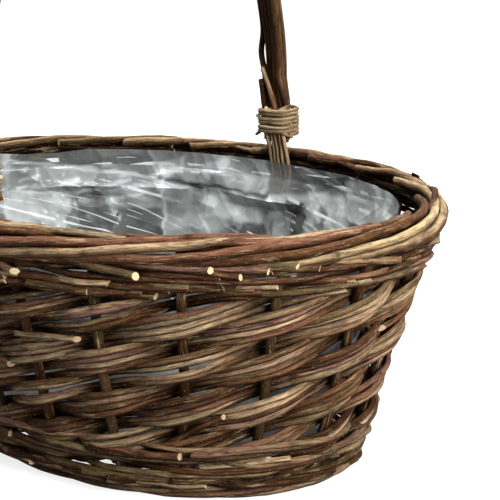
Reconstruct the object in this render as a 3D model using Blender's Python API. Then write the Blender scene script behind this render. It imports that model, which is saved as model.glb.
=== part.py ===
"""Oval willow basket with a hoop handle and a film liner, built as a basket maker builds it.

Upright stakes stand on an oval base and turn over at the top to make a rolled border. Slanting
bands of three weavers run round them, each in front of one stake and behind the next. A hoop of
rods crosses the middle, and each of its feet is lashed to a comb of thin rods inside the wall.
Sizes are metres, +Z is up and the basket stands on z = 0 with its centre over the origin.
"""

import math

import bmesh
import bpy

# Driving sizes of the whole basket
STAKE_COUNT = 20
STAKE_PHASE_SHARE = 0.5
BASE_HALF_LENGTH = 0.1375
BASE_HALF_WIDTH = 0.0930
WALL_FLARE = 0.0460
BORDER_HEIGHT = 0.154
FIT_GAP = 0.0003
LOOSE_GAP = 0.0004

# Stakes: rods that stand between the base and the border, and then wind along the border
STAKE_DIAMETER = 0.0046
STAKE_SIDES_RESOLUTION = 1
STAKE_FOOT_REACH = 0.026
STAKE_FOOT_BEND = 0.004
BORDER_HALF_WIDTH = 0.0092
BORDER_HALF_HEIGHT = 0.0066
BORDER_TURN_PER_STAKE = math.radians(45)
BORDER_RUN = 4.9
BORDER_STEPS_PER_STAKE = 3
BORDER_BEND_SHARE = 0.12

# Bands: three weavers side by side, rising one course at each stake
BAND_THICKNESS = 0.0034
COURSES = 8
COURSE_GAP = 0.0014
BAND_TAIL_SHARE = 0.25
BAND_STEPS_PER_STAKE = 3

# Wales: heavier rounds under the border and above the foot, and the ring that the basket stands on
WALE_THICKNESS = 0.0042
WALE_PERIOD = 4
UPPER_WALE_HEIGHT = 0.0060
LOWER_WALE_HEIGHT = 0.0065
FOOT_RING_WIDTH = 0.0110
FOOT_RING_HEIGHT = 0.0108
FOOT_RING_INSET = 0.0030

# Base: a long stick threaded through split cross sticks, with flat woven rings round them
CROSS_STICK_DIAMETER = 0.0070
CROSS_STICK_SHARES = (-0.42, 0.0, 0.42)
LONG_STICK_DIAMETER = 0.0045
BASE_RING_THICKNESS = 0.0030
BASE_RING_COUNT = 2
BASE_RING_GAP = 0.0020
BASE_CORE_GAP = 0.0050
EDGE_RING_WIDTH = 0.0130
EDGE_RING_INSET = 0.0180
STICK_END_INSET = 0.0250
BASE_RING_SPLITS = 4
EDGE_STEPS_PER_STAKE = 3

# Handle: a hoop of five rods, two on the inside of three
HOOP_ROD_DIAMETER = 0.0062
HOOP_RISE = 0.185
HOOP_FOOT_ABOVE_BORDER = 0.0060
HOOP_STRAIGHT_LEG = 0.0320
HOOP_STEPS = 22

# Handle feet: a flat comb of thin rods between the wall and the liner, lashed to the hoop
COMB_ROD_COUNT = 5
COMB_ROD_DIAMETER = 0.0032
COMB_ROD_SPACING = 0.0034
COMB_WEB_SHARE = 0.55
COMB_DEPTH = 0.075
COMB_ABOVE_LASHING = 0.0025

# Lashings: a thin rod wound round the hoop and the comb
LASH_ABOVE_BORDER = 0.0085
LASH_DIAMETER = 0.0028
LASH_LEAST_GAP = 0.0005
LASH_TURNS = 5.5
LASH_POINTS_PER_TURN = 24
LASH_SQUARENESS = 4.0
LASH_SLACK = 0.0011

# Liner: a film bag that stands on the base and reaches up inside the border
LINER_THICKNESS = 0.0005
LINER_TOP_HEIGHT = 0.156
LINER_TOP_INSET = 0.0168
LINER_FLOOR_INSET = 0.0145
LINER_CORNER_RADIUS = 0.0120
LINER_STEPS = 44
LINER_CORNER_STEPS = 2
LINER_FOLD_DEPTH = 0.0085
LINER_FOLD_WAVES = (7, 12)
LINER_FOLD_TURN = math.radians(115)
# down the liner's wall: share of its height, and share of the fold depth that the film is pushed in by
LINER_FOLD_SHARES = (
    (1.00, 0.05), (0.90, 0.12), (0.80, 1.00), (0.74, 0.30), (0.60, 0.65), (0.42, 0.12), (0.20, 0.55), (0.00, 0.10),
)

OVAL_TABLE_STEPS = 720
SHARP_ANGLE = math.radians(50)


# Levels that follow from the sizes above
STAKE_RADIUS = STAKE_DIAMETER / 2
STAKE_TURN_HEIGHT = BORDER_HEIGHT - BORDER_HALF_HEIGHT - STAKE_RADIUS
BASE_LEVEL = FOOT_RING_HEIGHT + LOOSE_GAP + STAKE_RADIUS
BASE_TOP = BASE_LEVEL + CROSS_STICK_DIAMETER / 2 + FIT_GAP + BASE_RING_THICKNESS
CROSS_STICK_PLACES = [BASE_HALF_LENGTH * share for share in CROSS_STICK_SHARES]
EDGE_RING_INSIDE = EDGE_RING_INSET + EDGE_RING_WIDTH / 2
BASE_RING_ROOM = BASE_HALF_WIDTH - EDGE_RING_INSIDE - BASE_CORE_GAP - LONG_STICK_DIAMETER / 2
BASE_RING_WIDTH = BASE_RING_ROOM / BASE_RING_COUNT - BASE_RING_GAP
UPPER_WALE_LEVEL = STAKE_TURN_HEIGHT - 3 * LOOSE_GAP - UPPER_WALE_HEIGHT / 2
LOWER_WALE_LEVEL = BASE_LEVEL + STAKE_FOOT_BEND + LOOSE_GAP + LOWER_WALE_HEIGHT / 2
BAND_ROOM_LOW = LOWER_WALE_LEVEL + LOWER_WALE_HEIGHT / 2 + LOOSE_GAP
BAND_ROOM_HIGH = UPPER_WALE_LEVEL - UPPER_WALE_HEIGHT / 2 - LOOSE_GAP
COURSE_RISE = (BAND_ROOM_HIGH - BAND_ROOM_LOW + COURSE_GAP) / (COURSES + 2 * BAND_TAIL_SHARE)
BAND_HEIGHT = COURSE_RISE - COURSE_GAP
FIRST_COURSE_HEIGHT = BAND_ROOM_LOW + BAND_HEIGHT / 2 + BAND_TAIL_SHARE * COURSE_RISE
BORDER_TOP = BORDER_HEIGHT + BORDER_HALF_HEIGHT + STAKE_RADIUS
HOOP_FOOT_HEIGHT = BORDER_TOP + HOOP_FOOT_ABOVE_BORDER
HOOP_SPRING_HEIGHT = HOOP_FOOT_HEIGHT + HOOP_STRAIGHT_LEG
LASH_PITCH = LASH_DIAMETER + LASH_LEAST_GAP
LASH_START = BORDER_TOP + LASH_ABOVE_BORDER + LASH_DIAMETER / 2
LASH_TOP = LASH_START + LASH_PITCH * LASH_TURNS + LASH_DIAMETER / 2


def wall_sizes(height):
    """Half length and half width of the wall's middle line at a height."""
    lean = WALL_FLARE * min(height, STAKE_TURN_HEIGHT) / STAKE_TURN_HEIGHT
    return BASE_HALF_LENGTH + lean, BASE_HALF_WIDTH + lean


def arc_length_angles():
    """Angles on the mid-height oval that lie one equal step of arc apart, as a table."""
    half_length, half_width = wall_sizes(STAKE_TURN_HEIGHT / 2)
    lengths = [0.0]
    for step in range(OVAL_TABLE_STEPS):
        angle = math.tau * (step + 0.5) / OVAL_TABLE_STEPS
        speed = math.hypot(half_length * math.sin(angle), half_width * math.cos(angle))
        lengths.append(lengths[-1] + speed)
    return [length / lengths[-1] for length in lengths]


OVAL_TABLE = arc_length_angles()


def station_angle(station):
    """The oval's angle at a station, where stakes stand at whole stations and are evenly spaced."""
    rounds, share = divmod((station + STAKE_PHASE_SHARE) / STAKE_COUNT, 1.0)
    low = max(i for i, reached in enumerate(OVAL_TABLE[:-1]) if reached <= share)
    span = OVAL_TABLE[low + 1] - OVAL_TABLE[low]
    return math.tau * (rounds + (low + (share - OVAL_TABLE[low]) / span) / OVAL_TABLE_STEPS)


def oval_point(half_length, half_width, angle, out, height):
    """A point on an oval, moved outwards square to it."""
    normal = (half_width * math.cos(angle), half_length * math.sin(angle))
    size = math.hypot(*normal)
    x = half_length * math.cos(angle) + out * normal[0] / size
    y = half_width * math.sin(angle) + out * normal[1] / size
    return (x, y, height)


def wall_point(station, height, out=0.0):
    """A point of the wall at a station and a height, out from the wall's middle line."""
    half_length, half_width = wall_sizes(height)
    return oval_point(half_length, half_width, station_angle(station), out, height)


def make_material(name, colour, roughness, alpha=1.0):
    """A plain Principled material."""
    material = bpy.data.materials.new(name)
    material.use_nodes = True
    shader = material.node_tree.nodes["Principled BSDF"]
    shader.inputs["Base Color"].default_value = (*colour, 1.0)
    shader.inputs["Roughness"].default_value = roughness
    shader.inputs["Metallic"].default_value = 0.0
    shader.inputs["Alpha"].default_value = alpha
    material.diffuse_color = (*colour, alpha)
    return material


def finish(obj, parent, material):
    """Gives an object its material and hangs it under an empty."""
    obj.data.materials.append(material)
    obj.parent = parent
    return obj


def link(name, data):
    """A new object in the scene."""
    obj = bpy.data.objects.new(name, data)
    bpy.context.scene.collection.objects.link(obj)
    return obj


def make_curve(name, points, cyclic=False):
    """A poly curve through points, with filled ends."""
    curve = bpy.data.curves.new(name, "CURVE")
    curve.dimensions = "3D"
    curve.use_fill_caps = True
    spline = curve.splines.new("POLY")
    spline.points.add(len(points) - 1)
    for place, point in zip(spline.points, points):
        place.co = (*point, 1.0)
    spline.use_cyclic_u = cyclic
    spline.use_smooth = True
    return link(name, curve)


def make_tube(name, points, diameter, resolution=STAKE_SIDES_RESOLUTION, cyclic=False):
    """A round rod along points."""
    tube = make_curve(name, points, cyclic)
    tube.data.bevel_depth = diameter / 2
    tube.data.bevel_resolution = resolution
    return tube


def rectangle(thickness, height):
    """(out, up) corners of a band's section."""
    out, up = thickness / 2, height / 2
    return [(out, -up), (out, up), (-out, up), (-out, -up)]


def make_loft(name, rings, cyclic=False):
    """A closed mesh through rings of corners, with filled ends or joined into a loop."""
    bm = bmesh.new()
    loops = [[bm.verts.new(corner) for corner in ring] for ring in rings]
    pairs = list(zip(loops, loops[1:]))
    if cyclic:
        pairs.append((loops[-1], loops[0]))
    else:
        bm.faces.new(loops[0])
        bm.faces.new(loops[-1])
    for low, high in pairs:
        for a, b, c, d in zip(low, low[1:] + low[:1], high[1:] + high[:1], high):
            bm.faces.new((a, b, c, d))
    bmesh.ops.recalc_face_normals(bm, faces=bm.faces)
    mesh = bpy.data.meshes.new(name)
    bm.to_mesh(mesh)
    bm.free()
    mesh.shade_smooth()
    mesh.set_sharp_from_angle(angle=SHARP_ANGLE)
    return link(name, mesh)


def border_place(run):
    """(out, height) of a stake that has run past some stakes: up outside, over the top and down inside."""
    turned = run * BORDER_TURN_PER_STAKE
    out = BORDER_HALF_WIDTH * math.sin(turned)
    return out, BORDER_HEIGHT - BORDER_HALF_HEIGHT * math.cos(turned)


def stake_path(number):
    """A stake: its foot in the base, its rise up the wall and its run along the border."""
    points = [
        wall_point(number, BASE_LEVEL, -STAKE_FOOT_REACH),
        wall_point(number, BASE_LEVEL, -STAKE_FOOT_BEND),
        wall_point(number, BASE_LEVEL + STAKE_FOOT_BEND / 4, -STAKE_FOOT_BEND / 4),
        wall_point(number, BASE_LEVEL + STAKE_FOOT_BEND),
    ]
    high = STAKE_TURN_HEIGHT - STAKE_DIAMETER
    points.append(wall_point(number, high))
    points.append(wall_point(number + BORDER_BEND_SHARE / 4, STAKE_TURN_HEIGHT))
    runs = [BORDER_BEND_SHARE]
    steps = round(BORDER_RUN * BORDER_STEPS_PER_STAKE)
    runs += [step / BORDER_STEPS_PER_STAKE for step in range(1, steps)] + [BORDER_RUN]
    for run in runs:
        out, height = border_place(run)
        points.append(wall_point(number + run, height, out))
    return points


def band_rings(number):
    """Sections of a band of weavers that climbs to the top course, in front of one stake and behind the next."""
    swing = STAKE_RADIUS + LOOSE_GAP + BAND_THICKNESS / 2
    first, last = -BAND_TAIL_SHARE, COURSES - 1 + BAND_TAIL_SHARE
    inner = range(0, (COURSES - 1) * BAND_STEPS_PER_STAKE + 1)
    runs = [first] + [step / BAND_STEPS_PER_STAKE for step in inner] + [last]
    rings = []
    for run in runs:
        height, out = FIRST_COURSE_HEIGHT + COURSE_RISE * run, swing * math.cos(math.pi * run)
        section = rectangle(BAND_THICKNESS, BAND_HEIGHT)
        rings.append([wall_point(number + run, height + up, out + away) for away, up in section])
    return rings


def wale_rings(height, section_height, shift):
    """Sections of a round that passes in front of three stakes and behind the fourth."""
    swing = STAKE_RADIUS + LOOSE_GAP + WALE_THICKNESS / 2
    rings = []
    for step in range(STAKE_COUNT * BAND_STEPS_PER_STAKE):
        here, part = divmod(step, BAND_STEPS_PER_STAKE)
        share = part / BAND_STEPS_PER_STAKE
        sides = [-1.0 if (here + shift + ahead) % WALE_PERIOD == 0 else 1.0 for ahead in (0, 1)]
        blend = (1 - math.cos(math.pi * share)) / 2
        out = swing * (sides[0] * (1 - blend) + sides[1] * blend)
        section = rectangle(WALE_THICKNESS, section_height)
        rings.append([wall_point(here + share, height + up, out + away) for away, up in section])
    return rings


def make_stakes(parent, material):
    """All stakes, each with its own run of border."""
    for number in range(STAKE_COUNT):
        stake = make_tube(f"stake_{number + 1:02d}", stake_path(number), STAKE_DIAMETER)
        finish(stake, parent, material)


def make_bands(parent, material):
    """All slanting bands of weavers."""
    for number in range(STAKE_COUNT):
        finish(make_loft(f"weaver_band_{number + 1:02d}", band_rings(number)), parent, material)


def make_wales(parent, material):
    """The upper and the lower wale, and the foot ring under the stakes' feet."""
    upper = wale_rings(UPPER_WALE_LEVEL, UPPER_WALE_HEIGHT, 0)
    finish(make_loft("upper_wale", upper, True), parent, material)
    lower = wale_rings(LOWER_WALE_LEVEL, LOWER_WALE_HEIGHT, 1)
    finish(make_loft("lower_wale", lower, True), parent, material)
    rings = []
    for step in range(2 * STAKE_COUNT):
        angle = station_angle(step / 2)
        rings.append(
            [
                oval_point(
                    BASE_HALF_LENGTH, BASE_HALF_WIDTH, angle, away - FOOT_RING_INSET, FOOT_RING_HEIGHT / 2 + up
                )
                for away, up in rectangle(FOOT_RING_WIDTH, FOOT_RING_HEIGHT)
            ]
        )
    finish(make_loft("foot_ring", rings, True), parent, material)


def base_marks(reach):
    """Stretches along X in which a base ring passes the sticks on one side, from the left end to the right.

    The ring's end begins at x = reach or at the outer cross stick, whichever is nearer the
    middle, and from there on the ring passes all the sticks on one side.
    """
    flat = CROSS_STICK_DIAMETER / 2 + LOOSE_GAP
    end = min(reach, max(CROSS_STICK_PLACES) - flat) - flat
    knots = [place for place in CROSS_STICK_PLACES if abs(place) + flat < end]
    middle = [(place - flat, place + flat) for place in knots]
    return [(-BASE_HALF_LENGTH, -end), *middle, (end, BASE_HALF_LENGTH)]


def base_wave(x, marks):
    """Side, from -1 to 1, on which a base ring passes at x. It changes from stick to stick."""
    side = 1.0
    for index, (low, high) in enumerate(marks):
        side = (-1.0) ** index
        if x <= high:
            if x >= low or index == 0:
                return side
            before = marks[index - 1][1]
            return -side * math.cos(math.pi * (x - before) / (low - before))
    return side


def base_ring_angles(inner_length, marks):
    """Angles of a base ring's sections: at the edges of each stretch, between them and round the ends."""
    edges = [edge for mark in marks for edge in mark][1:-1]
    stops = [edges[0]]
    for low, high in zip(edges, edges[1:]):
        stops += [low + (high - low) * step / BASE_RING_SPLITS for step in range(1, BASE_RING_SPLITS + 1)]
    across = [math.acos(stop / inner_length) for stop in reversed(stops)]
    tip = [across[0] * step / BASE_RING_SPLITS for step in range(BASE_RING_SPLITS)]
    half = tip + across + [math.pi - angle for angle in reversed(tip)]
    return half + [math.tau - angle for angle in reversed(half)][1:-1]


def base_ring_point(half_length, half_width, grow, angle):
    """A point of a base ring's inner edge, or of the edge that stands a step further out.

    Both edges keep nearly the same x, so that a section lies along a cross stick, and only near
    the ring's ends does the outer one run ahead.
    """
    along = math.cos(angle)
    x = half_length * along + grow * along * abs(along) ** 3
    y = (half_width + grow) * math.sqrt(max(0.0, 1 - (x / (half_length + grow)) ** 2))
    return x, math.copysign(y, math.sin(angle))


def make_base_rings(parent, material):
    """Flat woven rings of the base, over and under the sticks, and the edge ring round the stakes' feet."""
    rise = CROSS_STICK_DIAMETER / 2 + FIT_GAP + BASE_RING_THICKNESS / 2
    half = BASE_RING_WIDTH / 2
    for number in range(BASE_RING_COUNT):
        inside = EDGE_RING_INSIDE + (number + 1) * (BASE_RING_GAP + BASE_RING_WIDTH)
        inner_length, inner_width = BASE_HALF_LENGTH - inside, BASE_HALF_WIDTH - inside
        stick = LONG_STICK_DIAMETER / 2 + 2 * FIT_GAP
        marks = base_marks(inset_oval_reach(inner_length, inner_width, stick))
        rings = []
        for angle in base_ring_angles(inner_length, marks):
            ring = []
            for away, up in rectangle(BASE_RING_WIDTH, BASE_RING_THICKNESS):
                x, y = base_ring_point(inner_length, inner_width, away + half, angle)
                ring.append((x, y, BASE_LEVEL + up + rise * base_wave(x, marks) * (-1.0) ** number))
            rings.append(ring)
        finish(make_loft(f"base_ring_{number + 1}", rings, True), parent, material)
    edge_rise = STAKE_RADIUS + FIT_GAP + BASE_RING_THICKNESS / 2
    rings = []
    for step in range(STAKE_COUNT * EDGE_STEPS_PER_STAKE):
        station = step / EDGE_STEPS_PER_STAKE
        level = BASE_LEVEL + edge_rise * math.cos(math.pi * station)
        angle = station_angle(station)
        rings.append(
            [
                oval_point(BASE_HALF_LENGTH, BASE_HALF_WIDTH, angle, away - EDGE_RING_INSET, level + up)
                for away, up in rectangle(EDGE_RING_WIDTH, BASE_RING_THICKNESS)
            ]
        )
    finish(make_loft("base_edge_ring", rings, True), parent, material)


def inset_oval_reach(half_length, half_width, place):
    """How far an inset oval reaches along one axis at a place on the other."""
    return half_length * math.sqrt(1 - (place / half_width) ** 2)


def make_stick(name, diameter, length, middle, along_x):
    """A straight stick of the base, eight-sided, along X or Y."""
    bm = bmesh.new()
    bmesh.ops.create_cone(
        bm, cap_ends=True, segments=8, radius1=diameter / 2, radius2=diameter / 2, depth=length
    )
    mesh = bpy.data.meshes.new(name)
    bm.to_mesh(mesh)
    bm.free()
    mesh.shade_smooth()
    mesh.set_sharp_from_angle(angle=math.radians(60))
    stick = link(name, mesh)
    stick.location = middle
    stick.rotation_euler = (0.0, math.pi / 2, 0.0) if along_x else (math.pi / 2, 0.0, 0.0)
    return stick


def make_base_sticks(parent, material):
    """Cross sticks, split at the middle, and the long stick threaded through them."""
    slot = LONG_STICK_DIAMETER + 2 * FIT_GAP
    bpy.ops.mesh.primitive_cube_add(size=1.0, location=(0.0, 0.0, BASE_LEVEL))
    cutter = bpy.context.object
    cutter.name = "split_cutter"
    cutter.scale = (2 * BASE_HALF_LENGTH, slot, slot)
    cutter.hide_render = True
    cutter.display_type = "WIRE"
    inset_length, inset_width = BASE_HALF_LENGTH - STICK_END_INSET, BASE_HALF_WIDTH - STICK_END_INSET
    for number, place in enumerate(CROSS_STICK_PLACES):
        half = inset_oval_reach(inset_width, inset_length, abs(place) + CROSS_STICK_DIAMETER / 2)
        stick = make_stick(f"cross_stick_{number + 1}", CROSS_STICK_DIAMETER, 2 * half, (place, 0.0, BASE_LEVEL), False)
        split = stick.modifiers.new("split", "BOOLEAN")
        split.operation = "DIFFERENCE"
        split.object = cutter
        finish(stick, parent, material)
    half = inset_oval_reach(inset_length, inset_width, LONG_STICK_DIAMETER / 2)
    stick = make_stick("long_stick", LONG_STICK_DIAMETER, 2 * half, (0.0, 0.0, BASE_LEVEL), True)
    finish(stick, parent, material)


def hoop_rod_places():
    """(sideways, outwards) of each hoop rod: three outside and two inside, packed like logs."""
    spacing = HOOP_ROD_DIAMETER + FIT_GAP
    layer = spacing * math.sin(math.pi / 3)
    outside = [(side * spacing, layer / 2) for side in (-1, 0, 1)]
    inside = [(side * spacing, -layer / 2) for side in (-0.5, 0.5)]
    return outside + inside


def border_reach_inside():
    """How far inside the wall's middle line the border's rods reach, over the width of a handle foot."""
    middle = STAKE_COUNT / 4 - STAKE_PHASE_SHARE
    spacing = math.dist(wall_point(middle - 0.5, BORDER_HEIGHT), wall_point(middle + 0.5, BORDER_HEIGHT))
    half = COMB_ROD_COUNT * COMB_ROD_SPACING / 2 / spacing
    runs = [middle + side * half - number for number in range(-STAKE_COUNT, STAKE_COUNT) for side in (-1, 1)]
    return STAKE_RADIUS - min(border_place(run)[0] for run in runs if 0 <= run <= BORDER_RUN)


def comb_line():
    """Half width of the comb's middle line, inside the border, and of the hoop's, outside the comb."""
    layer = (HOOP_ROD_DIAMETER + FIT_GAP) * math.sin(math.pi / 3)
    border_inside = wall_sizes(STAKE_TURN_HEIGHT)[1] - border_reach_inside()
    comb = border_inside - LOOSE_GAP - COMB_ROD_DIAMETER / 2
    return comb, comb + COMB_ROD_DIAMETER / 2 + FIT_GAP + HOOP_ROD_DIAMETER / 2 + layer / 2


def hoop_point(along, sideways, outwards):
    """A point of the hoop: along runs from 0 at the back springing to 1 at the front one."""
    half_span = comb_line()[1]
    angle = math.pi * along
    middle = (half_span * math.cos(angle), HOOP_SPRING_HEIGHT + HOOP_RISE * math.sin(angle))
    normal = (HOOP_RISE * math.cos(angle), half_span * math.sin(angle))
    size = math.hypot(*normal)
    return (
        sideways,
        middle[0] + outwards * normal[0] / size,
        middle[1] + outwards * normal[1] / size,
    )


def make_hoop(parent, material):
    """The hoop's rods, each from a little above the back border to a little above the front one."""
    half_span = comb_line()[1]
    for number, (sideways, outwards) in enumerate(hoop_rod_places()):
        arch = [hoop_point(step / HOOP_STEPS, sideways, outwards) for step in range(HOOP_STEPS + 1)]
        back = (sideways, half_span + outwards, HOOP_FOOT_HEIGHT)
        front = (sideways, -half_span - outwards, HOOP_FOOT_HEIGHT)
        rod = make_tube(f"hoop_rod_{number + 1}", [back, *arch, front], HOOP_ROD_DIAMETER)
        finish(rod, parent, material)


def comb_outline():
    """(sideways, thickness) outline of the comb: round rods side by side, joined by thin webs."""
    radius = COMB_ROD_DIAMETER / 2
    web = radius * COMB_WEB_SHARE
    upper = []
    for number in range(COMB_ROD_COUNT):
        middle = (number - (COMB_ROD_COUNT - 1) / 2) * COMB_ROD_SPACING
        upper.append((middle - COMB_ROD_SPACING / 2, web))
        upper.append((middle, radius))
    upper.append((COMB_ROD_COUNT * COMB_ROD_SPACING / 2, web))
    return upper + [(sideways, -thickness) for sideways, thickness in reversed(upper)]


def comb_path():
    """(y, z) of the comb's middle line at the back foot, from its lower end to its upper one."""
    comb = comb_line()[0]
    wall_inside = STAKE_RADIUS + 2 * LOOSE_GAP + WALE_THICKNESS + COMB_ROD_DIAMETER / 2
    low = BORDER_HEIGHT - COMB_DEPTH
    wale = STAKE_TURN_HEIGHT - UPPER_WALE_HEIGHT - STAKE_DIAMETER
    return [
        (wall_sizes(low)[1] - wall_inside - LOOSE_GAP, low),
        (min(comb, wall_sizes(wale)[1] - wall_inside), wale),
        (comb, BORDER_HEIGHT - BORDER_HALF_HEIGHT),
        (comb, LASH_TOP + COMB_ABOVE_LASHING),
    ]


def make_combs(parent, material):
    """The two handle feet: lofted combs, the front one a half turn from the back one."""
    outline = comb_outline()
    path = comb_path()
    for name, turn in (("handle_foot_back", 1.0), ("handle_foot_front", -1.0)):
        rings = []
        for index, (y, z) in enumerate(path):
            before, after = path[max(index - 1, 0)], path[min(index + 1, len(path) - 1)]
            along = (after[0] - before[0], after[1] - before[1])
            size = math.hypot(*along)
            across = (along[1] / size, -along[0] / size)
            rings.append(
                [
                    (turn * sideways, turn * (y + thick * across[0]), z + thick * across[1])
                    for sideways, thick in outline
                ]
            )
        finish(make_loft(name, rings), parent, material)


def lashing_path():
    """The lashing round the back foot of the hoop: a square-cornered helix with straight ends."""
    comb, half_span = comb_line()
    layer = (HOOP_ROD_DIAMETER + FIT_GAP) * math.sin(math.pi / 3)
    outer = half_span + layer / 2 + HOOP_ROD_DIAMETER / 2
    inner = comb - COMB_ROD_DIAMETER / 2
    half_depth = (outer - inner) / 2 + LASH_SLACK + LASH_DIAMETER / 2
    half_width = HOOP_ROD_DIAMETER * 1.5 + FIT_GAP + LASH_SLACK + LASH_DIAMETER / 2
    middle = (outer + inner) / 2
    points = []
    for step in range(round(LASH_TURNS * LASH_POINTS_PER_TURN) + 1):
        angle = math.tau * step / LASH_POINTS_PER_TURN
        share = 2 / LASH_SQUARENESS
        x = half_width * math.copysign(abs(math.cos(angle)) ** share, math.cos(angle))
        y = half_depth * math.copysign(abs(math.sin(angle)) ** share, math.sin(angle))
        points.append((x, middle + y, LASH_START + LASH_PITCH * step / LASH_POINTS_PER_TURN))
    first, last = points[0], points[-1]
    points.insert(0, (first[0], first[1] - LASH_DIAMETER, first[2]))
    points.append((last[0], last[1] - LASH_DIAMETER, last[2]))
    return points


def report_least_gap(points):
    """Prints the least gap between turns of the lashing, measured on points a half turn or more apart."""
    least = min(
        math.dist(points[a], points[b])
        for a in range(len(points))
        for b in range(a + LASH_POINTS_PER_TURN // 2, len(points))
    )
    print(f"lashing: least gap to itself {(least - LASH_DIAMETER) * 1000:.2f} mm")


def make_lashings(parent, material):
    """One lashing on each foot of the hoop."""
    points = lashing_path()
    report_least_gap(points)
    for name, turn in (("lashing_back", 1.0), ("lashing_front", -1.0)):
        turned = [(turn * x, turn * y, z) for x, y, z in points]
        finish(make_tube(name, turned, LASH_DIAMETER), parent, material)


def liner_fold(row, angle):
    """How deep the film is pushed in there, from 0 to 1: two closed waves that turn from row to row."""
    long_wave = math.sin(LINER_FOLD_WAVES[0] * angle + LINER_FOLD_TURN * row)
    short_wave = math.sin(LINER_FOLD_WAVES[1] * angle - LINER_FOLD_TURN * row)
    return 0.5 + 0.3 * long_wave + 0.2 * short_wave


def liner_rings():
    """Rings of points down the liner's folded wall and round its corner to the floor."""
    floor = BASE_TOP + FIT_GAP
    corner_top = floor + LINER_CORNER_RADIUS
    angles = [math.tau * step / LINER_STEPS for step in range(LINER_STEPS)]
    rings = []
    for row, (height_share, depth_share) in enumerate(LINER_FOLD_SHARES):
        height = corner_top + (LINER_TOP_HEIGHT - corner_top) * height_share
        inset = LINER_FLOOR_INSET + (LINER_TOP_INSET - LINER_FLOOR_INSET) * height_share
        folds = [LINER_FOLD_DEPTH * depth_share * liner_fold(row, angle) for angle in angles]
        half_length, half_width = wall_sizes(height)
        sizes = (half_length - inset, half_width - inset)
        rings.append([oval_point(*sizes, angle, -fold, height) for angle, fold in zip(angles, folds)])
    for step in range(1, LINER_CORNER_STEPS + 1):
        turn = math.pi / 2 * step / LINER_CORNER_STEPS
        inset = LINER_FLOOR_INSET + LINER_CORNER_RADIUS * (1 - math.cos(turn))
        height = floor + LINER_CORNER_RADIUS * (1 - math.sin(turn))
        half_length, half_width = wall_sizes(height)
        rings.append([oval_point(half_length - inset, half_width - inset, angle, 0.0, height) for angle in angles])
    return rings


def make_liner(parent, material):
    """The film liner: an open oval bag with a thin, folded wall."""
    bm = bmesh.new()
    rings = [[bm.verts.new(point) for point in ring] for ring in liner_rings()]
    for upper, lower in zip(rings, rings[1:]):
        for a, b, c, d in zip(upper, upper[1:] + upper[:1], lower[1:] + lower[:1], lower):
            bm.faces.new((a, d, c, b))
    bm.faces.new(list(reversed(rings[-1])))
    bmesh.ops.recalc_face_normals(bm, faces=bm.faces)
    mesh = bpy.data.meshes.new("liner")
    bm.to_mesh(mesh)
    bm.free()
    mesh.shade_smooth()
    liner = link("liner", mesh)
    wall = liner.modifiers.new("wall", "SOLIDIFY")
    wall.thickness = LINER_THICKNESS
    wall.offset = -1.0
    finish(liner, parent, material)


def main():
    """Clears the scene and builds the basket."""
    for obj in list(bpy.data.objects):
        bpy.data.objects.remove(obj)
    basket = link("basket", None)
    make_base_sticks(basket, make_material("base_stick_wood", (0.27, 0.17, 0.09), 0.7))
    make_base_rings(basket, make_material("base_weave_bark", (0.15, 0.09, 0.05), 0.75))
    make_stakes(basket, make_material("stake_bark", (0.24, 0.15, 0.09), 0.65))
    make_bands(basket, make_material("weaver_bark", (0.17, 0.10, 0.07), 0.7))
    make_wales(basket, make_material("wale_bark", (0.14, 0.09, 0.05), 0.7))
    make_hoop(basket, make_material("hoop_bark", (0.10, 0.06, 0.04), 0.6))
    make_combs(basket, make_material("foot_rod_bark", (0.30, 0.19, 0.11), 0.6))
    make_lashings(basket, make_material("lashing_rod", (0.42, 0.29, 0.16), 0.55))
    make_liner(basket, make_material("clear_film", (0.82, 0.85, 0.88), 0.2, 0.35))


main()
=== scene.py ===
"""Oval willow basket with a hoop handle and a film liner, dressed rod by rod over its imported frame.

Every rod is a round section carried along a path, with the taper, knots, wrinkles and slanted cuts of
unpeeled willow. The wall is an oval that leans out, and its rods are placed by station, height and
distance out: stakes stand at whole stations, one stake spacing apart. Sizes are metres, +Z is up and
the basket stands on z = 0.
"""

import logging
import math
from dataclasses import dataclass, field
from enum import Enum
from typing import ClassVar

import bpy
import numpy as np
from mathutils import Matrix


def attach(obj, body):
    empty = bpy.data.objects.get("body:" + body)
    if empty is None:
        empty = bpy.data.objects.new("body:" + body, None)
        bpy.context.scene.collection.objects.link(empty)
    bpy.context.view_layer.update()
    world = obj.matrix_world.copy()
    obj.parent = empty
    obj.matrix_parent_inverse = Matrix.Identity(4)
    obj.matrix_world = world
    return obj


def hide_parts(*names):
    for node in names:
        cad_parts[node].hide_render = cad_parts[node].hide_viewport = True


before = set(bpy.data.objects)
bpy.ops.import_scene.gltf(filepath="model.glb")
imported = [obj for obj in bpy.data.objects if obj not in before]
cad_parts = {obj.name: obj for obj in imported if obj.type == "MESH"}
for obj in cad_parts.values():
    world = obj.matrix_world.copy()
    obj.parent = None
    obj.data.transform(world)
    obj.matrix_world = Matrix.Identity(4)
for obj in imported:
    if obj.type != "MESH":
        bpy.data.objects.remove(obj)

log = logging.getLogger("willow_basket")
Array = np.ndarray
Random = np.random.Generator
Pairs = tuple[tuple[float, float], ...]
Socket = bpy.types.NodeSocket
SHARP_ANGLE = math.radians(50)
UP = np.array([0.0, 0.0, 1.0])
ALONG_BASKET = np.array([1.0, 0.0, 0.0])
SEEDS = 1 << 20


# Colours and finishes


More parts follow.
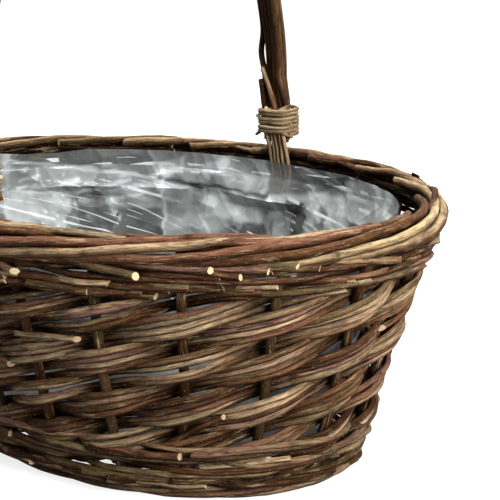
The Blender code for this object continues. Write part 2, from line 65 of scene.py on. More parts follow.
class Willow(Enum):
    """Colours of willow bark and wood as they look on screen, red, green and blue from 0 to 255."""

    SHADE = (28, 16, 8)
    UMBER = (68, 44, 28)
    CHESTNUT = (100, 68, 44)
    RUSSET = (125, 87, 67)
    MAUVE = (136, 102, 88)
    OLIVE = (116, 97, 68)
    SAGE = (152, 133, 104)
    TAN = (180, 152, 118)
    STRAW = (196, 171, 130)
    CUT = (200, 180, 142)

    @property
    def linear(self) -> tuple[float, float, float]:
        """The colour in linear light."""
        red, green, blue = (screen_to_linear(part / 255) for part in self.value)
        return red, green, blue


Shades = tuple[Willow, Willow]


def screen_to_linear(part: float) -> float:
    """One screen colour part as linear light."""
    return part / 12.92 if part <= 0.04045 else ((part + 0.055) / 1.055) ** 2.4


class Shader:
    """A node tree with short ways to add and join nodes."""

    def __init__(self, tree: bpy.types.NodeTree) -> None:
        """Keeps the tree and empties it."""
        self.tree = tree
        tree.nodes.clear()

    def node(self, kind: str, inputs: dict | None = None, **settings: object) -> bpy.types.Node:
        """Adds a node.

        Args:
            kind: The node's type name after ShaderNode.
            inputs: Values or output sockets for its inputs, by name or number.
            settings: Properties of the node.

        Returns:
            The new node.
        """
        made = self.tree.nodes.new(kind if kind.startswith("Node") else f"ShaderNode{kind}")
        for name, value in settings.items():
            setattr(made, name, value)
        for key, value in (inputs or {}).items():
            socket = made.inputs[key]
            if isinstance(value, bpy.types.NodeSocket):
                self.tree.links.new(value, socket)
            else:
                socket.default_value = value
        return made

    def math(self, operation: str, *values: object) -> Socket:
        """A Math node's result."""
        return self.node("Math", dict(enumerate(values)), operation=operation).outputs[0]

    def vector_math(self, operation: str, *values: object) -> Socket:
        """A Vector Math node's vector."""
        return self.node("VectorMath", dict(enumerate(values)), operation=operation).outputs[0]

    def attribute(self, name: str, output: str = "Fac") -> Socket:
        """What a piece carries at each of its points under a name."""
        return self.node("Attribute", attribute_name=name).outputs[output]

    def remap(self, value: object, low: float, high: float, to_low: float, to_high: float) -> Socket:
        """A value carried smoothly from one range to another, and held at its ends."""
        inputs = {"Value": value, "From Min": low, "From Max": high, "To Min": to_low, "To Max": to_high}
        return self.node("MapRange", inputs, interpolation_type="SMOOTHSTEP").outputs["Result"]

    def noise(self, place: object, waves: tuple[float, float, float], detail: float, rough: float) -> Socket:
        """Noise on a place that is stretched by its own share in each direction.

        Args:
            place: Where it is read, in metres.
            waves: Waves a metre along x, y and z.
            detail: How many finer layers lie on it.
            rough: How strong each finer layer is beside the one before.

        Returns:
            The noise, from 0 to 1.
        """
        stretched = self.vector_math("MULTIPLY", place, waves)
        inputs = {"Vector": stretched, "Scale": 1.0, "Detail": detail, "Roughness": rough}
        return self.node("TexNoise", inputs).outputs["Fac"]

    def mix(self, share: object, first: object, second: object, blend: str = "MIX") -> Socket:
        """Two colours mixed by a share of the second."""
        inputs = {0: share, 6: first, 7: second}
        return self.node("Mix", inputs, data_type="RGBA", blend_type=blend).outputs[2]

    def cells(self, place: object, scale: float) -> Socket:
        """How far a place is from the middle of its scattered cell."""
        inputs = {"Vector": place, "Scale": scale, "Randomness": 1.0}
        return self.node("TexVoronoi", inputs).outputs["Distance"]

    def grey(self, tone: Socket) -> Socket:
        """A tone as a grey colour."""
        return self.node("CombineColor", {0: tone, 1: tone, 2: tone}).outputs[0]

    def seen(self) -> Socket:
        """Whether a ray shows things by sight, in gloss or through something clear.

        Returns:
            One for such rays, and nought for those that only light.
        """
        path = self.node("LightPath").outputs
        sight = self.math("MAXIMUM", path["Is Camera Ray"], path["Is Glossy Ray"])
        return self.math("MAXIMUM", sight, path["Is Transmission Ray"])


def new_material(name: str) -> tuple[bpy.types.Material, Shader]:
    """A new material.

    Args:
        name: Its name.

    Returns:
        The material, and its empty node tree.
    """
    material = bpy.data.materials.new(name)
    material.use_nodes = True
    return material, Shader(material.node_tree)


@dataclass(frozen=True)
class Finish:
    """A finish of the basket. Each kind says what goes into its principled surface."""

    name: str

    def surface(self, make: Shader) -> dict[str, object]:
        """The inputs of the principled surface, by name."""
        raise NotImplementedError

    def material(self) -> bpy.types.Material:
        """The finish as a material, made once.

        Returns:
            The material.
        """
        material = bpy.data.materials.get(self.name)
        if material is None:
            material, make = new_material(self.name)
            shader = make.node("BsdfPrincipled", self.surface(make))
            make.node("OutputMaterial", {"Surface": shader.outputs[0]})
        return material


def bark_pattern() -> bpy.types.NodeTree:
    """The pattern of unpeeled bark, made once and placed in each bark finish.

    It reads a rod's own straight place: x and y across the rod and z along it, in metres. Streaks run
    along the rod, blotches are longer than wide, and small pale dots are scattered over it. Its pale
    worn patches are partly wear and partly painted highlight.

    Returns:
        The pattern as a node group.
    """
    found = bpy.data.node_groups.get("bark_pattern")
    if found:
        return found
    group = bpy.data.node_groups.new("bark_pattern", "ShaderNodeTree")
    read = {"Colour": "Color", "Place": "Vector", "Knot": "Float", "Contrast": "Float", "Wear_and_sheen": "Float"}
    given_back = {"Colour": "Color", "Roughness": "Float", "Height": "Float"}
    for side, sockets in (("INPUT", read), ("OUTPUT", given_back)):
        for name, kind in sockets.items():
            group.interface.new_socket(name=name, in_out=side, socket_type=f"NodeSocket{kind}")
    make = Shader(group)
    given = make.node("NodeGroupInput").outputs
    place = given["Place"]
    streak = make.noise(place, (640.0, 640.0, 42.0), 5.0, 0.7)
    fibre = make.noise(place, (1500.0, 1500.0, 110.0), 4.0, 0.7)
    blotch = make.noise(place, (80.0, 80.0, 38.0), 3.0, 0.55)
    worn_and_sheen = make.noise(place, (420.0, 420.0, 48.0), 5.0, 0.75)
    cracked = make.noise(place, (820.0, 820.0, 60.0), 4.0, 0.6)
    off_middle = make.math("ABSOLUTE", make.math("SUBTRACT", cracked, 0.5))
    crack = make.remap(off_middle, 0.0, 0.035, 1.0, 0.0)
    from_dot = make.cells(make.vector_math("MULTIPLY", place, (620.0, 620.0, 280.0)), 1.0)
    dot = make.remap(from_dot, 0.10, 0.24, 1.0, 0.0)
    streaky = make.remap(streak, 0.30, 0.70, -0.55, 0.55)
    tone = make.math("ADD", streaky, make.remap(fibre, 0.3, 0.7, -0.8, 0.8))
    tone = make.math("ADD", tone, make.remap(blotch, 0.3, 0.7, -0.35, 0.35))
    tone = make.math("MULTIPLY_ADD", tone, given["Contrast"], 1.0)
    tone = make.math("MAXIMUM", tone, 0.14)
    colour = make.mix(1.0, given["Colour"], make.grey(tone), "MULTIPLY")
    colour = make.mix(make.remap(blotch, 0.54, 0.70, 0.0, 0.15), colour, (*Willow.RUSSET.linear, 1.0))
    # Pale patches, partly worn bark and partly painted highlight that stands in for sheen.
    bare_and_sheen = make.math("MULTIPLY", make.remap(worn_and_sheen, 0.54, 0.66, 0.0, 1.0), given["Wear_and_sheen"])
    colour = make.mix(bare_and_sheen, colour, (*Willow.STRAW.linear, 1.0))
    colour = make.mix(make.math("MULTIPLY", dot, 0.25), colour, (*Willow.TAN.linear, 1.0))
    colour = make.mix(make.math("MULTIPLY", crack, 0.6), colour, (*Willow.SHADE.linear, 1.0))
    colour = make.mix(make.math("MULTIPLY", given["Knot"], 0.85), colour, (*Willow.SHADE.linear, 1.0))
    rough = make.remap(streak, 0.3, 0.7, 0.52, 0.74)
    height = make.math("MULTIPLY_ADD", fibre, 0.5, streak)
    height = make.math("MULTIPLY_ADD", dot, 0.12, height)
    height = make.math("MULTIPLY_ADD", crack, -0.35, height)
    make.node("NodeGroupOutput", {"Colour": colour, "Roughness": rough, "Height": height})
    return group


@dataclass(frozen=True)
class BarkFinish(Finish):
    """Unpeeled bark. Its colour is each rod's own, and the pattern darkens, reddens and wears it.

    Its pale worn patches are partly wear and partly painted highlight.
    """

    contrast: float = 0.62
    # Share of pale patches, partly wear and partly painted highlight.
    wear_and_sheen: float = 0.45
    relief: float = 0.0013

    def surface(self, make: Shader) -> dict[str, object]:
        """The bark's surface.

        Args:
            make: The material's nodes.

        Returns:
            Its inputs.
        """
        inputs = {
            "Colour": make.attribute("rod_colour", "Color"),
            "Place": make.attribute("rod_place", "Vector"),
            "Knot": make.attribute("rod_knot"),
            "Contrast": self.contrast,
            "Wear_and_sheen": self.wear_and_sheen,
        }
        pattern = make.node("Group", inputs, node_tree=bark_pattern())
        relief = {"Height": pattern.outputs["Height"], "Strength": 0.8, "Distance": self.relief}
        return {
            "Base Color": pattern.outputs["Colour"],
            "Roughness": pattern.outputs["Roughness"],
            "Normal": make.node("Bump", relief).outputs["Normal"],
            "Specular IOR Level": 0.03,
        }


@dataclass(frozen=True)
class CutFinish(Finish):
    """A cut end: pale wood with a darker pith and a thin dark rim of bark, or an old, darkened cut."""

    name: str = "cut_willow"
    radius: float = 0.0022
    fresh: Willow = Willow.CUT
    aged: Willow = Willow.STRAW

    def surface(self, make: Shader) -> dict[str, object]:
        """The cut's surface.

        Args:
            make: The material's nodes.

        Returns:
            Its inputs.
        """
        place = make.attribute("rod_place", "Vector")
        flat = make.vector_math("MULTIPLY", place, (1.0, 1.0, 0.0))
        away = make.node("VectorMath", {0: flat}, operation="LENGTH").outputs["Value"]
        grain = make.noise(place, (1400.0, 1400.0, 500.0), 4.0, 0.65)
        pith = make.remap(away, 0.12 * self.radius, 0.34 * self.radius, 0.22, 0.0)
        rim = make.remap(away, 0.86 * self.radius, 1.02 * self.radius, 0.0, 0.75)
        fresh, aged = (*self.fresh.linear, 1.0), (*self.aged.linear, 1.0)
        wood = make.mix(make.remap(grain, 0.35, 0.7, 0.0, 0.55), fresh, aged)
        wood = make.mix(pith, wood, (*Willow.RUSSET.linear, 1.0))
        wood = make.mix(rim, wood, (*Willow.CHESTNUT.linear, 1.0))
        bump = make.node("Bump", {"Height": grain, "Strength": 0.5, "Distance": 0.0003}).outputs["Normal"]
        return {"Base Color": wood, "Roughness": 0.75, "Normal": bump, "Specular IOR Level": 0.25}


AGED_CUT = CutFinish("weathered_cut", fresh=Willow.TAN, aged=Willow.UMBER)


@dataclass(frozen=True)
class FilmFinish(Finish):
    """Milky clear film: whiter where it is creased or doubled, and see-through between.

    Its tone carries painted light and shade, and its creases painted highlights along the pale folds.
    """

    name: str = "milky_film"
    colour: tuple[float, float, float] = (0.405, 0.434, 0.428)
    crease_and_highlight_colour: tuple[float, float, float] = (0.74, 0.78, 0.79)
    roughness: float = 0.3
    thinnest: float = 0.16
    milkiest: float = 0.97
    facets_a_metre: tuple[float, ...] = (12.0, 25.0, 52.0)
    facet_shares: tuple[float, ...] = (1.0, 0.5, 0.22)

    def ripple(self, make: Shader, place: Socket) -> Socket:
        """Flat facets of three sizes, laid over each other.

        Args:
            make: The material's nodes.
            place: Where they are read.

        Returns:
            Their height.
        """
        heights = [make.cells(place, scale) for scale in self.facets_a_metre]
        total = make.math("MULTIPLY", heights[0], self.facet_shares[0])
        for height, share in zip(heights[1:], self.facet_shares[1:]):
            total = make.math("MULTIPLY_ADD", height, share, total)
        return total

    def surface(self, make: Shader) -> dict[str, object]:
        """The film's surface.

        Args:
            make: The material's nodes.

        Returns:
            Its inputs.
        """
        place = make.node("TexCoord").outputs["Object"]
        crease = make.attribute("film_crease_and_highlight")
        cloud = make.noise(place, (16.0, 16.0, 22.0), 3.0, 0.5)
        streaks = make.noise(place, (60.0, 60.0, 14.0), 3.0, 0.5)
        scuff = make.noise(place, (120.0, 120.0, 420.0), 4.0, 0.65)
        milk = make.attribute("film_milk")
        milk = make.math("ADD", milk, make.remap(cloud, 0.3, 0.7, -0.12, 0.12))
        milk = make.math("ADD", milk, make.remap(scuff, 0.5, 0.75, -0.03, 0.10))
        milk = make.math("MULTIPLY_ADD", crease, 0.3, milk)
        held = {"Value": milk, "Min": self.thinnest, "Max": self.milkiest}
        alpha = make.node("Clamp", held).outputs[0]
        # The tone carries painted light and shade, besides the paler doubled film.
        tone = make.math("MULTIPLY", make.attribute("film_tone_and_shading"), make.remap(streaks, 0.35, 0.65, 0.86, 1.14))
        film = make.mix(1.0, (*self.colour, 1.0), make.grey(tone), "MULTIPLY")
        # White along creases, and painted highlights along the pale folds.
        white = make.mix(make.math("MULTIPLY", crease, 0.42), film, (*self.crease_and_highlight_colour, 1.0))
        relief = {"Height": self.ripple(make, place), "Strength": 0.8, "Distance": 0.02}
        return {
            "Base Color": white,
            "Roughness": self.roughness,
            "Alpha": alpha,
            "Normal": make.node("Bump", relief).outputs["Normal"],
            "Specular IOR Level": 0.35,
        }


# Paths and waves


def travelled(path: Array) -> Array:
    """How far along a path each of its points lies."""
    return np.concatenate([[0.0], np.cumsum(np.linalg.norm(np.diff(path, axis=0), axis=1))])


def at_places(values: Array, reached: Array, places: Array) -> Array:
    """Rows of values read at places along a path, between the places that the rows stand for."""
    return np.stack([np.interp(places, reached, column) for column in values.T], axis=-1)


def unit(vectors: Array) -> Array:
    """Vectors made one long."""
    return vectors / np.maximum(np.linalg.norm(vectors, axis=-1, keepdims=True), 1e-12)


def soften(path: Array, reach: float, step: float = 0.001) -> Array:
    """A path with its corners rounded.

    The path is read every step, and each point becomes the weighted mean of the points within reach,
    with weights that fall to nothing as a cosine does. Beyond its ends the path is turned about its
    end points, so that they stay.

    Args:
        path: Points, one a row.
        reach: How far the rounding reaches to each side.
        step: Distance between the points that it returns.

    Returns:
        The rounded path.
    """
    reached = travelled(path)
    count = max(8, round(reached[-1] / step))
    points = at_places(path, reached, np.linspace(0.0, reached[-1], count + 1))
    half = min(max(1, round(reach / step)), count)
    weights = np.hanning(2 * half + 3)[1:-1]
    before = 2 * points[0] - points[half:0:-1]
    after = 2 * points[-1] - points[-2 : -half - 2 : -1]
    long = np.concatenate([before, points, after])
    columns = [np.convolve(column, weights / weights.sum(), "valid") for column in long.T]
    return np.stack(columns, axis=-1)


def waver(places: Array, seed: int, lengths: tuple[float, ...] = (0.13, 0.057, 0.026)) -> Array:
    """An uneven wave along a rod: the sum of sin(2 pi s / length + turn) / 1.7^rank, over 1.6.

    Args:
        places: Places along the rod.
        seed: Seed of its turns and of how far each length strays.
        lengths: Wave lengths, the first one the highest.

    Returns:
        The wave at each place, from about -1 to 1.
    """
    rng = np.random.default_rng(seed)
    total = np.zeros_like(places)
    for rank, length in enumerate(lengths):
        turn = rng.uniform(0, math.tau)
        total += np.sin(math.tau * places / (length * rng.uniform(0.8, 1.25)) + turn) / 1.7**rank
    return total / 1.6


def new_seed(rng: Random) -> int:
    """A seed for one rod's own differences."""
    return int(rng.integers(SEEDS))


def soft_floor(values: Array, reach: float) -> Array:
    """Values kept above zero without a corner: reach log(1 + exp(value / reach))."""
    return reach * np.logaddexp(0.0, values / reach)


# Rods


@dataclass
class Rod:
    """One willow rod: a round section carried along a path.

    Its surface is path(s) + r(s, u) (cos u across(s) + sin u up(s)), where s runs along it and u round it.
    It is a little oval and ridged, and swells at its knots. Its shade changes over the given shares of
    its length. The side away from the light is painted darker by weathered, a painted shade, where sky is
    how far the light comes from above, and dim is painted shade and tone along the path. Its cuts are
    slanted by slant, with the long side at cut_turn.
    """

    uneven_share: ClassVar[float] = 0.05
    oval_share: ClassVar[float] = 0.045
    oval_turns: ClassVar[float] = 6.0
    ridges: ClassVar[tuple[tuple[int, float], ...]] = ((3, 0.022), (5, 0.018))
    ridge_twist: ClassVar[float] = 25.0
    pattern_reach: ClassVar[float] = 40.0
    blend_stray: ClassVar[float] = 0.25
    # Painted shade is warmer where it is darker, by these powers of red, green and blue.
    shade_warmth: ClassVar[tuple[float, float, float]] = (1.0, 1.12, 1.28)

    path: Array
    across: Array
    butt: float
    tip: float
    shades: Shades
    seed: int
    sides: int = 12
    step: float = 0.0025
    wander: float = 0.0004
    knot_gap: float = 0.055
    slant: float = 0.6
    # Depth of the painted shade on the side away from the light.
    weathered: float = 0.90
    sky: float = 1.2
    # Painted shade and tone along the path, as shares of brightness.
    dim: Array | None = None
    change: tuple[float, float] = (0.0, 1.0)
    cut_turn: float | None = None

    def surface(self) -> dict[str, Array]:
        """The rod's points, faces and what the bark pattern reads.

        Returns:
            points, quads, caps, place, colour and knot, as arrays.
        """
        rng = np.random.default_rng(self.seed)
        reached = travelled(self.path)
        total = reached[-1]
        rings = max(4, round(total / self.step)) + 1
        s = np.linspace(0.0, total, rings)
        middle = at_places(self.path, reached, s)
        ahead = unit(np.gradient(middle, axis=0))
        across = at_places(np.broadcast_to(self.across, self.path.shape), reached, s)
        across = unit(across - (across * ahead).sum(-1, keepdims=True) * ahead)
        up = np.cross(ahead, across)
        middle = middle + self.wander * (waver(s, self.seed + 1)[:, None] * across)
        middle = middle + self.wander * (waver(s, self.seed + 2)[:, None] * up)
        u = math.tau * np.arange(self.sides) / self.sides
        share = s / total
        thickness = self.butt + (self.tip - self.butt) * share
        radius = thickness / 2 * (1 + self.uneven_share * waver(s, self.seed + 3))
        swell, scar = self.knots(rng, s, u, total)
        turned = 2 * u[None, :] + self.oval_turns * share[:, None] + rng.uniform(0, math.tau)
        ridged = 0.0
        for count, high in self.ridges:
            turn, twist = rng.uniform(0, math.tau), rng.uniform(-self.ridge_twist, self.ridge_twist)
            ridged = ridged + high * np.cos(count * u[None, :] + turn + twist * s[:, None])
        r = radius[:, None] * (1 + self.oval_share * np.cos(turned) + ridged) * (1 + swell)
        shape = np.cos(u)[None, :, None] * across[:, None] + np.sin(u)[None, :, None] * up[:, None]
        points = middle[:, None] + r[..., None] * shape
        for end, sign in ((0, -1.0), (-1, 1.0)):
            longest = rng.uniform(0, math.tau) if self.cut_turn is None else self.cut_turn
            slope = self.slant * rng.uniform(0.3, 1.2) * r[end] * (1 + np.cos(u - longest))
            points[end] += sign * slope[:, None] * ahead[end]
        offset = rng.uniform(0, self.pattern_reach)
        along = np.broadcast_to(s[:, None] + offset, r.shape)
        place = np.stack([r * np.cos(u), r * np.sin(u), along], axis=-1)
        end_place = np.array([[0.0, 0.0, offset], [0.0, 0.0, offset + total]])
        colour = self.two_shades(s, share) * self.painted_light_and_shade(shape, across, reached, s)
        ends = np.stack([points[0].mean(0), points[-1].mean(0)])
        return {
            "points": np.concatenate([points.reshape(-1, 3), ends]),
            "quads": grid_quads(rings, self.sides),
            "caps": self.end_faces(rings),
            "place": np.concatenate([place.reshape(-1, 3), end_place]),
            "colour": np.concatenate([colour.reshape(-1, 3), colour[[0, -1], 0]]),
            "knot": np.concatenate([scar.ravel(), [0.0, 0.0]]),
        }

    def end_faces(self, rings: int) -> Array:
        """Fans of faces that close both ends, each round a middle point put after the rings' points.

        Args:
            rings: How many rings the rod has.

        Returns:
            Three-sided faces.
        """
        last = (rings - 1) * self.sides
        turn = np.arange(self.sides)
        following = (turn + 1) % self.sides
        middle = np.full(self.sides, rings * self.sides)
        butt = np.stack([middle, following, turn], axis=-1)
        tip = np.stack([middle + 1, last + turn, last + following], axis=-1)
        return np.concatenate([butt, tip])

    def two_shades(self, s: Array, share: Array) -> Array:
        """The rod's colour, from one shade to the other over the change with an uneven edge.

        Args:
            s: Lengths along the rod.
            share: The same as shares of its length.

        Returns:
            Linear colours, ready to be spread round each ring.
        """
        blend = (share - self.change[0]) / (self.change[1] - self.change[0])
        blend = np.clip(blend + self.blend_stray * waver(s, self.seed + 4), 0, 1)[:, None, None]
        first, second = (np.array(shade.linear) for shade in self.shades)
        return first * (1 - blend) + second * blend

    def painted_light_and_shade(self, normals: Array, across: Array, reached: Array, s: Array) -> Array:
        """Painted light and shade at each point: lightest on the side that faces out and up.

        Args:
            normals: Directions away from the rod's middle line.
            across: The rod's reference direction, which points out of the basket.
            reached: Lengths along the path at which dim is given.
            s: Lengths at which it is wanted.

        Returns:
            Factors of red, green and blue: from 1 - weathered to 1, times dim, and warmer where the painted
                shade is darker.
        """
        # Painted light and shade: points that face out and up keep their colour, and the rest are painted
        # darker.
        lit = unit(across + self.sky * UP)
        facing = np.clip(1.45 * (normals * lit[:, None]).sum(-1) - 0.02, 0, 1)
        shade_factor = 1 - self.weathered * (1 - facing)
        shade_factor = shade_factor if self.dim is None else shade_factor * np.interp(s, reached, self.dim)[:, None]
        return shade_factor[..., None] ** np.array(self.shade_warmth)

    def knots(self, rng: Random, s: Array, u: Array, total: float) -> tuple[Array, Array]:
        """Swellings and dark scars where side shoots grew.

        Each knot adds h exp(-(ds / w)^2) times a part that is largest on its own side of the rod.

        Args:
            rng: Random numbers of this rod.
            s: Places of the rings.
            u: Angles of the section's points.
            total: The rod's length.

        Returns:
            The swelling as a share of the radius, and the scar from 0 to 1, for each point.
        """
        count = max(1, round(total / self.knot_gap))
        at = (np.arange(count) + rng.uniform(0.2, 0.8, count)) * total / count
        side = rng.uniform(0, math.tau, count)
        high = rng.uniform(0.04, 0.26, count)
        wide = rng.uniform(0.0022, 0.0042, count)
        along = (s[:, None, None] - at) / wide
        facing = np.cos(u[None, :, None] - side)
        swell = (high * np.exp(-(along**2)) * (0.35 + 0.65 * np.clip(facing, 0, 1) ** 2)).sum(-1)
        mark = np.exp(-((along * 1.3) ** 2)) * np.clip(facing * 1.8 - 0.9, 0, 1) * (high > 0.13)
        return swell, np.clip(mark.sum(-1), 0, 1)


def grid_quads(rows: int, columns: int) -> Array:
    """Faces of a grid whose columns close into a ring, row after row.

    Args:
        rows: Rows of points.
        columns: Points in each row.

    Returns:
        Four-sided faces.
    """
    row, column = np.meshgrid(np.arange(rows - 1), np.arange(columns), indexing="ij")
    beside = (column + 1) % columns
    here, above = row * columns, (row + 1) * columns
    corners = (here + column, here + beside, above + beside, above + column)
    return np.stack(corners, axis=-1).reshape(-1, 4)


def put_in_scene(name: str, data: bpy.types.ID) -> bpy.types.Object:
    """A new object in the scene.

    Args:
        name: Its name.
        data: Its mesh, lamp or camera.

    Returns:
        The object.
    """
    made = bpy.data.objects.new(name, data)
    bpy.context.scene.collection.objects.link(made)
    return made


def put_mesh(name: str, points: Array, quads: Array, threes: Array) -> bpy.types.Object:
    """A new smooth mesh object at the origin.

    Args:
        name: The piece's name.
        points: Corners, one a row.
        quads: Four-sided faces.
        threes: Three-sided faces, put after the others.

    Returns:
        The object, which rides on the basket's body.
    """
    mesh = bpy.data.meshes.new(name)
    mesh.from_pydata(points.tolist(), [], quads.tolist() + threes.tolist())
    mesh.update()
    mesh.shade_smooth()
    mesh.set_sharp_from_angle(angle=SHARP_ANGLE)
    made = put_in_scene(name, mesh)
    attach(made, "root")
    return made


def put_rods(
    name: str, rods: list[Rod], finish: BarkFinish, slot: str, nodes: list[str], cut: CutFinish = CutFinish()
) -> bpy.types.Object:
    """Rods as one piece with bark and pale cut ends.

    Args:
        name: The piece's name.
        rods: The rods in it.
        finish: Their bark.
        slot: A material slot name; not used.
        nodes: The frame's nodes that the piece stands for.
        cut: The finish of the cut ends.

    Returns:
        The piece.
    """
    parts = [rod.surface() for rod in rods]
    starts = np.cumsum([0] + [len(part["points"]) for part in parts[:-1]])
    points, place, colour, knot = (
        np.concatenate([part[key] for part in parts]) for key in ("points", "place", "colour", "knot")
    )
    quads, caps = (
        np.concatenate([part[key] + start for part, start in zip(parts, starts)]) for key in ("quads", "caps")
    )
    made = put_mesh(name, points, quads, caps)
    mesh = made.data
    opaque = np.concatenate([colour, np.ones((len(colour), 1))], axis=1)
    mesh.attributes.new("rod_place", "FLOAT_VECTOR", "POINT").data.foreach_set("vector", place.ravel())
    mesh.attributes.new("rod_colour", "FLOAT_COLOR", "POINT").data.foreach_set("color", opaque.ravel())
    mesh.attributes.new("rod_knot", "FLOAT", "POINT").data.foreach_set("value", knot)
    mesh.materials.append(finish.material())
    mesh.materials.append(cut.material())
    which = np.concatenate([np.zeros(len(quads), dtype=np.int32), np.ones(len(caps), dtype=np.int32)])
    mesh.polygons.foreach_set("material_index", which)
    if nodes:
        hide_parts(*nodes)
    stands_for = ", ".join(nodes) or "no node"
    log.info("%s: %d rods, %d points, for %s", name, len(rods), len(points), stands_for)
    return made


# The wall and its bark


# How far the light of the painted shade comes from above, for rods that lie on top.
OPEN_SKY = 2.6


@dataclass(frozen=True)
class Wall:
    """The leaning oval on which the wall's rods are placed, with the levels that the frame gives them.

    The spacing is about the way between two stakes, and rods in the border read which way is out at
    the border level.
    """

    stakes: int = 20
    phase_share: float = 0.5
    spacing: float = 0.045
    border_level: float = 0.145
    arc_steps: int = 1440
    base_half_length: float = 0.1375
    base_half_width: float = 0.0930
    flare: float = 0.0460
    stake_diameter: float = 0.0046
    border_height: float = 0.154
    border_half_width: float = 0.0092
    border_half_height: float = 0.0066
    border_turn: float = math.radians(45)
    border_run: float = 4.9
    base_level: float = 0.0135
    upper_wale_level: float = 0.1409
    lower_wale_level: float = 0.02115
    courses: int = 8
    first_course: float = 0.0341
    course_rise: float = 0.01343

    @property
    def turn_height(self) -> float:
        """Height at which the stakes turn over into the border."""
        return self.border_height - self.border_half_height - self.stake_diameter / 2

    def half_sizes(self, height: Array | float) -> tuple[Array, Array]:
        """Half length and half width at a height."""
        lean = self.flare * np.minimum(height, self.turn_height) / self.turn_height
        return self.base_half_length + lean, self.base_half_width + lean

    def angle(self, station: Array | float) -> Array:
        """The oval's angle at a station, with equal arcs between stations on the oval at half height.

        Args:
            station: Stations, which may pass the last stake and go on round.

        Returns:
            Angles, which go on past a full turn in the same way.
        """
        half_length, half_width = self.half_sizes(self.turn_height / 2)
        edges = np.linspace(0.0, math.tau, self.arc_steps + 1)
        middles = (edges[:-1] + edges[1:]) / 2
        arcs = np.hypot(half_length * np.sin(middles), half_width * np.cos(middles))
        reached = np.concatenate([[0.0], np.cumsum(arcs)])
        turns = (np.asarray(station, dtype=float) + self.phase_share) / self.stakes
        whole = np.floor(turns)
        return math.tau * whole + np.interp(turns - whole, reached / reached[-1], edges)

    def outward(self, station: Array, height: Array | float) -> Array:
        """Level direction square to the wall, as (b cos t, a sin t) made one long.

        Args:
            station: Stations along the wall.
            height: One height, or one for each station.

        Returns:
            Directions out of the basket.
        """
        half_length, half_width = self.half_sizes(height)
        angle = self.angle(station)
        parts = np.broadcast_arrays(half_width * np.cos(angle), half_length * np.sin(angle), 0.0)
        return unit(np.stack(parts, axis=-1))

    def point(self, station: Array, height: Array | float, out: Array | float) -> Array:
        """Points (a cos t, b sin t, height) of the wall, moved out square to it.

        Args:
            station: Stations along the wall.
            height: One height, or one for each station.
            out: How far each point is moved out.

        Returns:
            The points.
        """
        station, height, out = np.broadcast_arrays(np.asarray(station, dtype=float), height, out)
        half_length, half_width = self.half_sizes(height)
        angle = self.angle(station)
        on = np.stack([half_length * np.cos(angle), half_width * np.sin(angle), height], axis=-1)
        return on + out[..., None] * self.outward(station, height)

    def line(
        self, station: Array, height: Array | float, out: Array | float, level: Array | float | None = None
    ) -> tuple[Array, Array]:
        """A rod's path along the wall.

        Args:
            station: Stations along the wall.
            height: One height, or one for each station.
            out: How far each point is moved out.
            level: Height at which the way out is read, where it isn't the border's.

        Returns:
            The path, and the way out at each of its points.
        """
        level = self.border_level if level is None else level
        return self.point(station, height, out), self.outward(station, level)

    def border(self, run: Array) -> tuple[Array, Array]:
        """Where a stake lies in the rolled border: an oval, up outside, over the top and down inside.

        Args:
            run: Stakes passed since it turned over.

        Returns:
            How far out it lies, and its height.
        """
        turned = run * self.border_turn
        out = self.border_half_width * np.sin(turned)
        return out, self.border_height - self.border_half_height * np.cos(turned)


BARK_SHADES = (
    (Willow.UMBER, Willow.CHESTNUT),
    (Willow.CHESTNUT, Willow.RUSSET),
    (Willow.CHESTNUT, Willow.OLIVE),
    (Willow.RUSSET, Willow.MAUVE),
    (Willow.OLIVE, Willow.SAGE),
    (Willow.UMBER, Willow.OLIVE),
    (Willow.MAUVE, Willow.TAN),
    (Willow.SAGE, Willow.TAN),
    (Willow.TAN, Willow.CHESTNUT),
    (Willow.UMBER, Willow.RUSSET),
)
PALE_SHADES = [6, 7, 8]


def pick_shades(rng: Random, light: float) -> Shades:
    """Two bark colours for a rod.

    Args:
        rng: Random numbers of the piece.
        light: How much more often it picks a pale pair, where 0 treats all pairs alike.

    Returns:
        The colours of its butt and its tip.
    """
    weights = np.ones(len(BARK_SHADES))
    weights[PALE_SHADES] += 2 * light
    return BARK_SHADES[rng.choice(len(BARK_SHADES), p=weights / weights.sum())]


# The woven parts


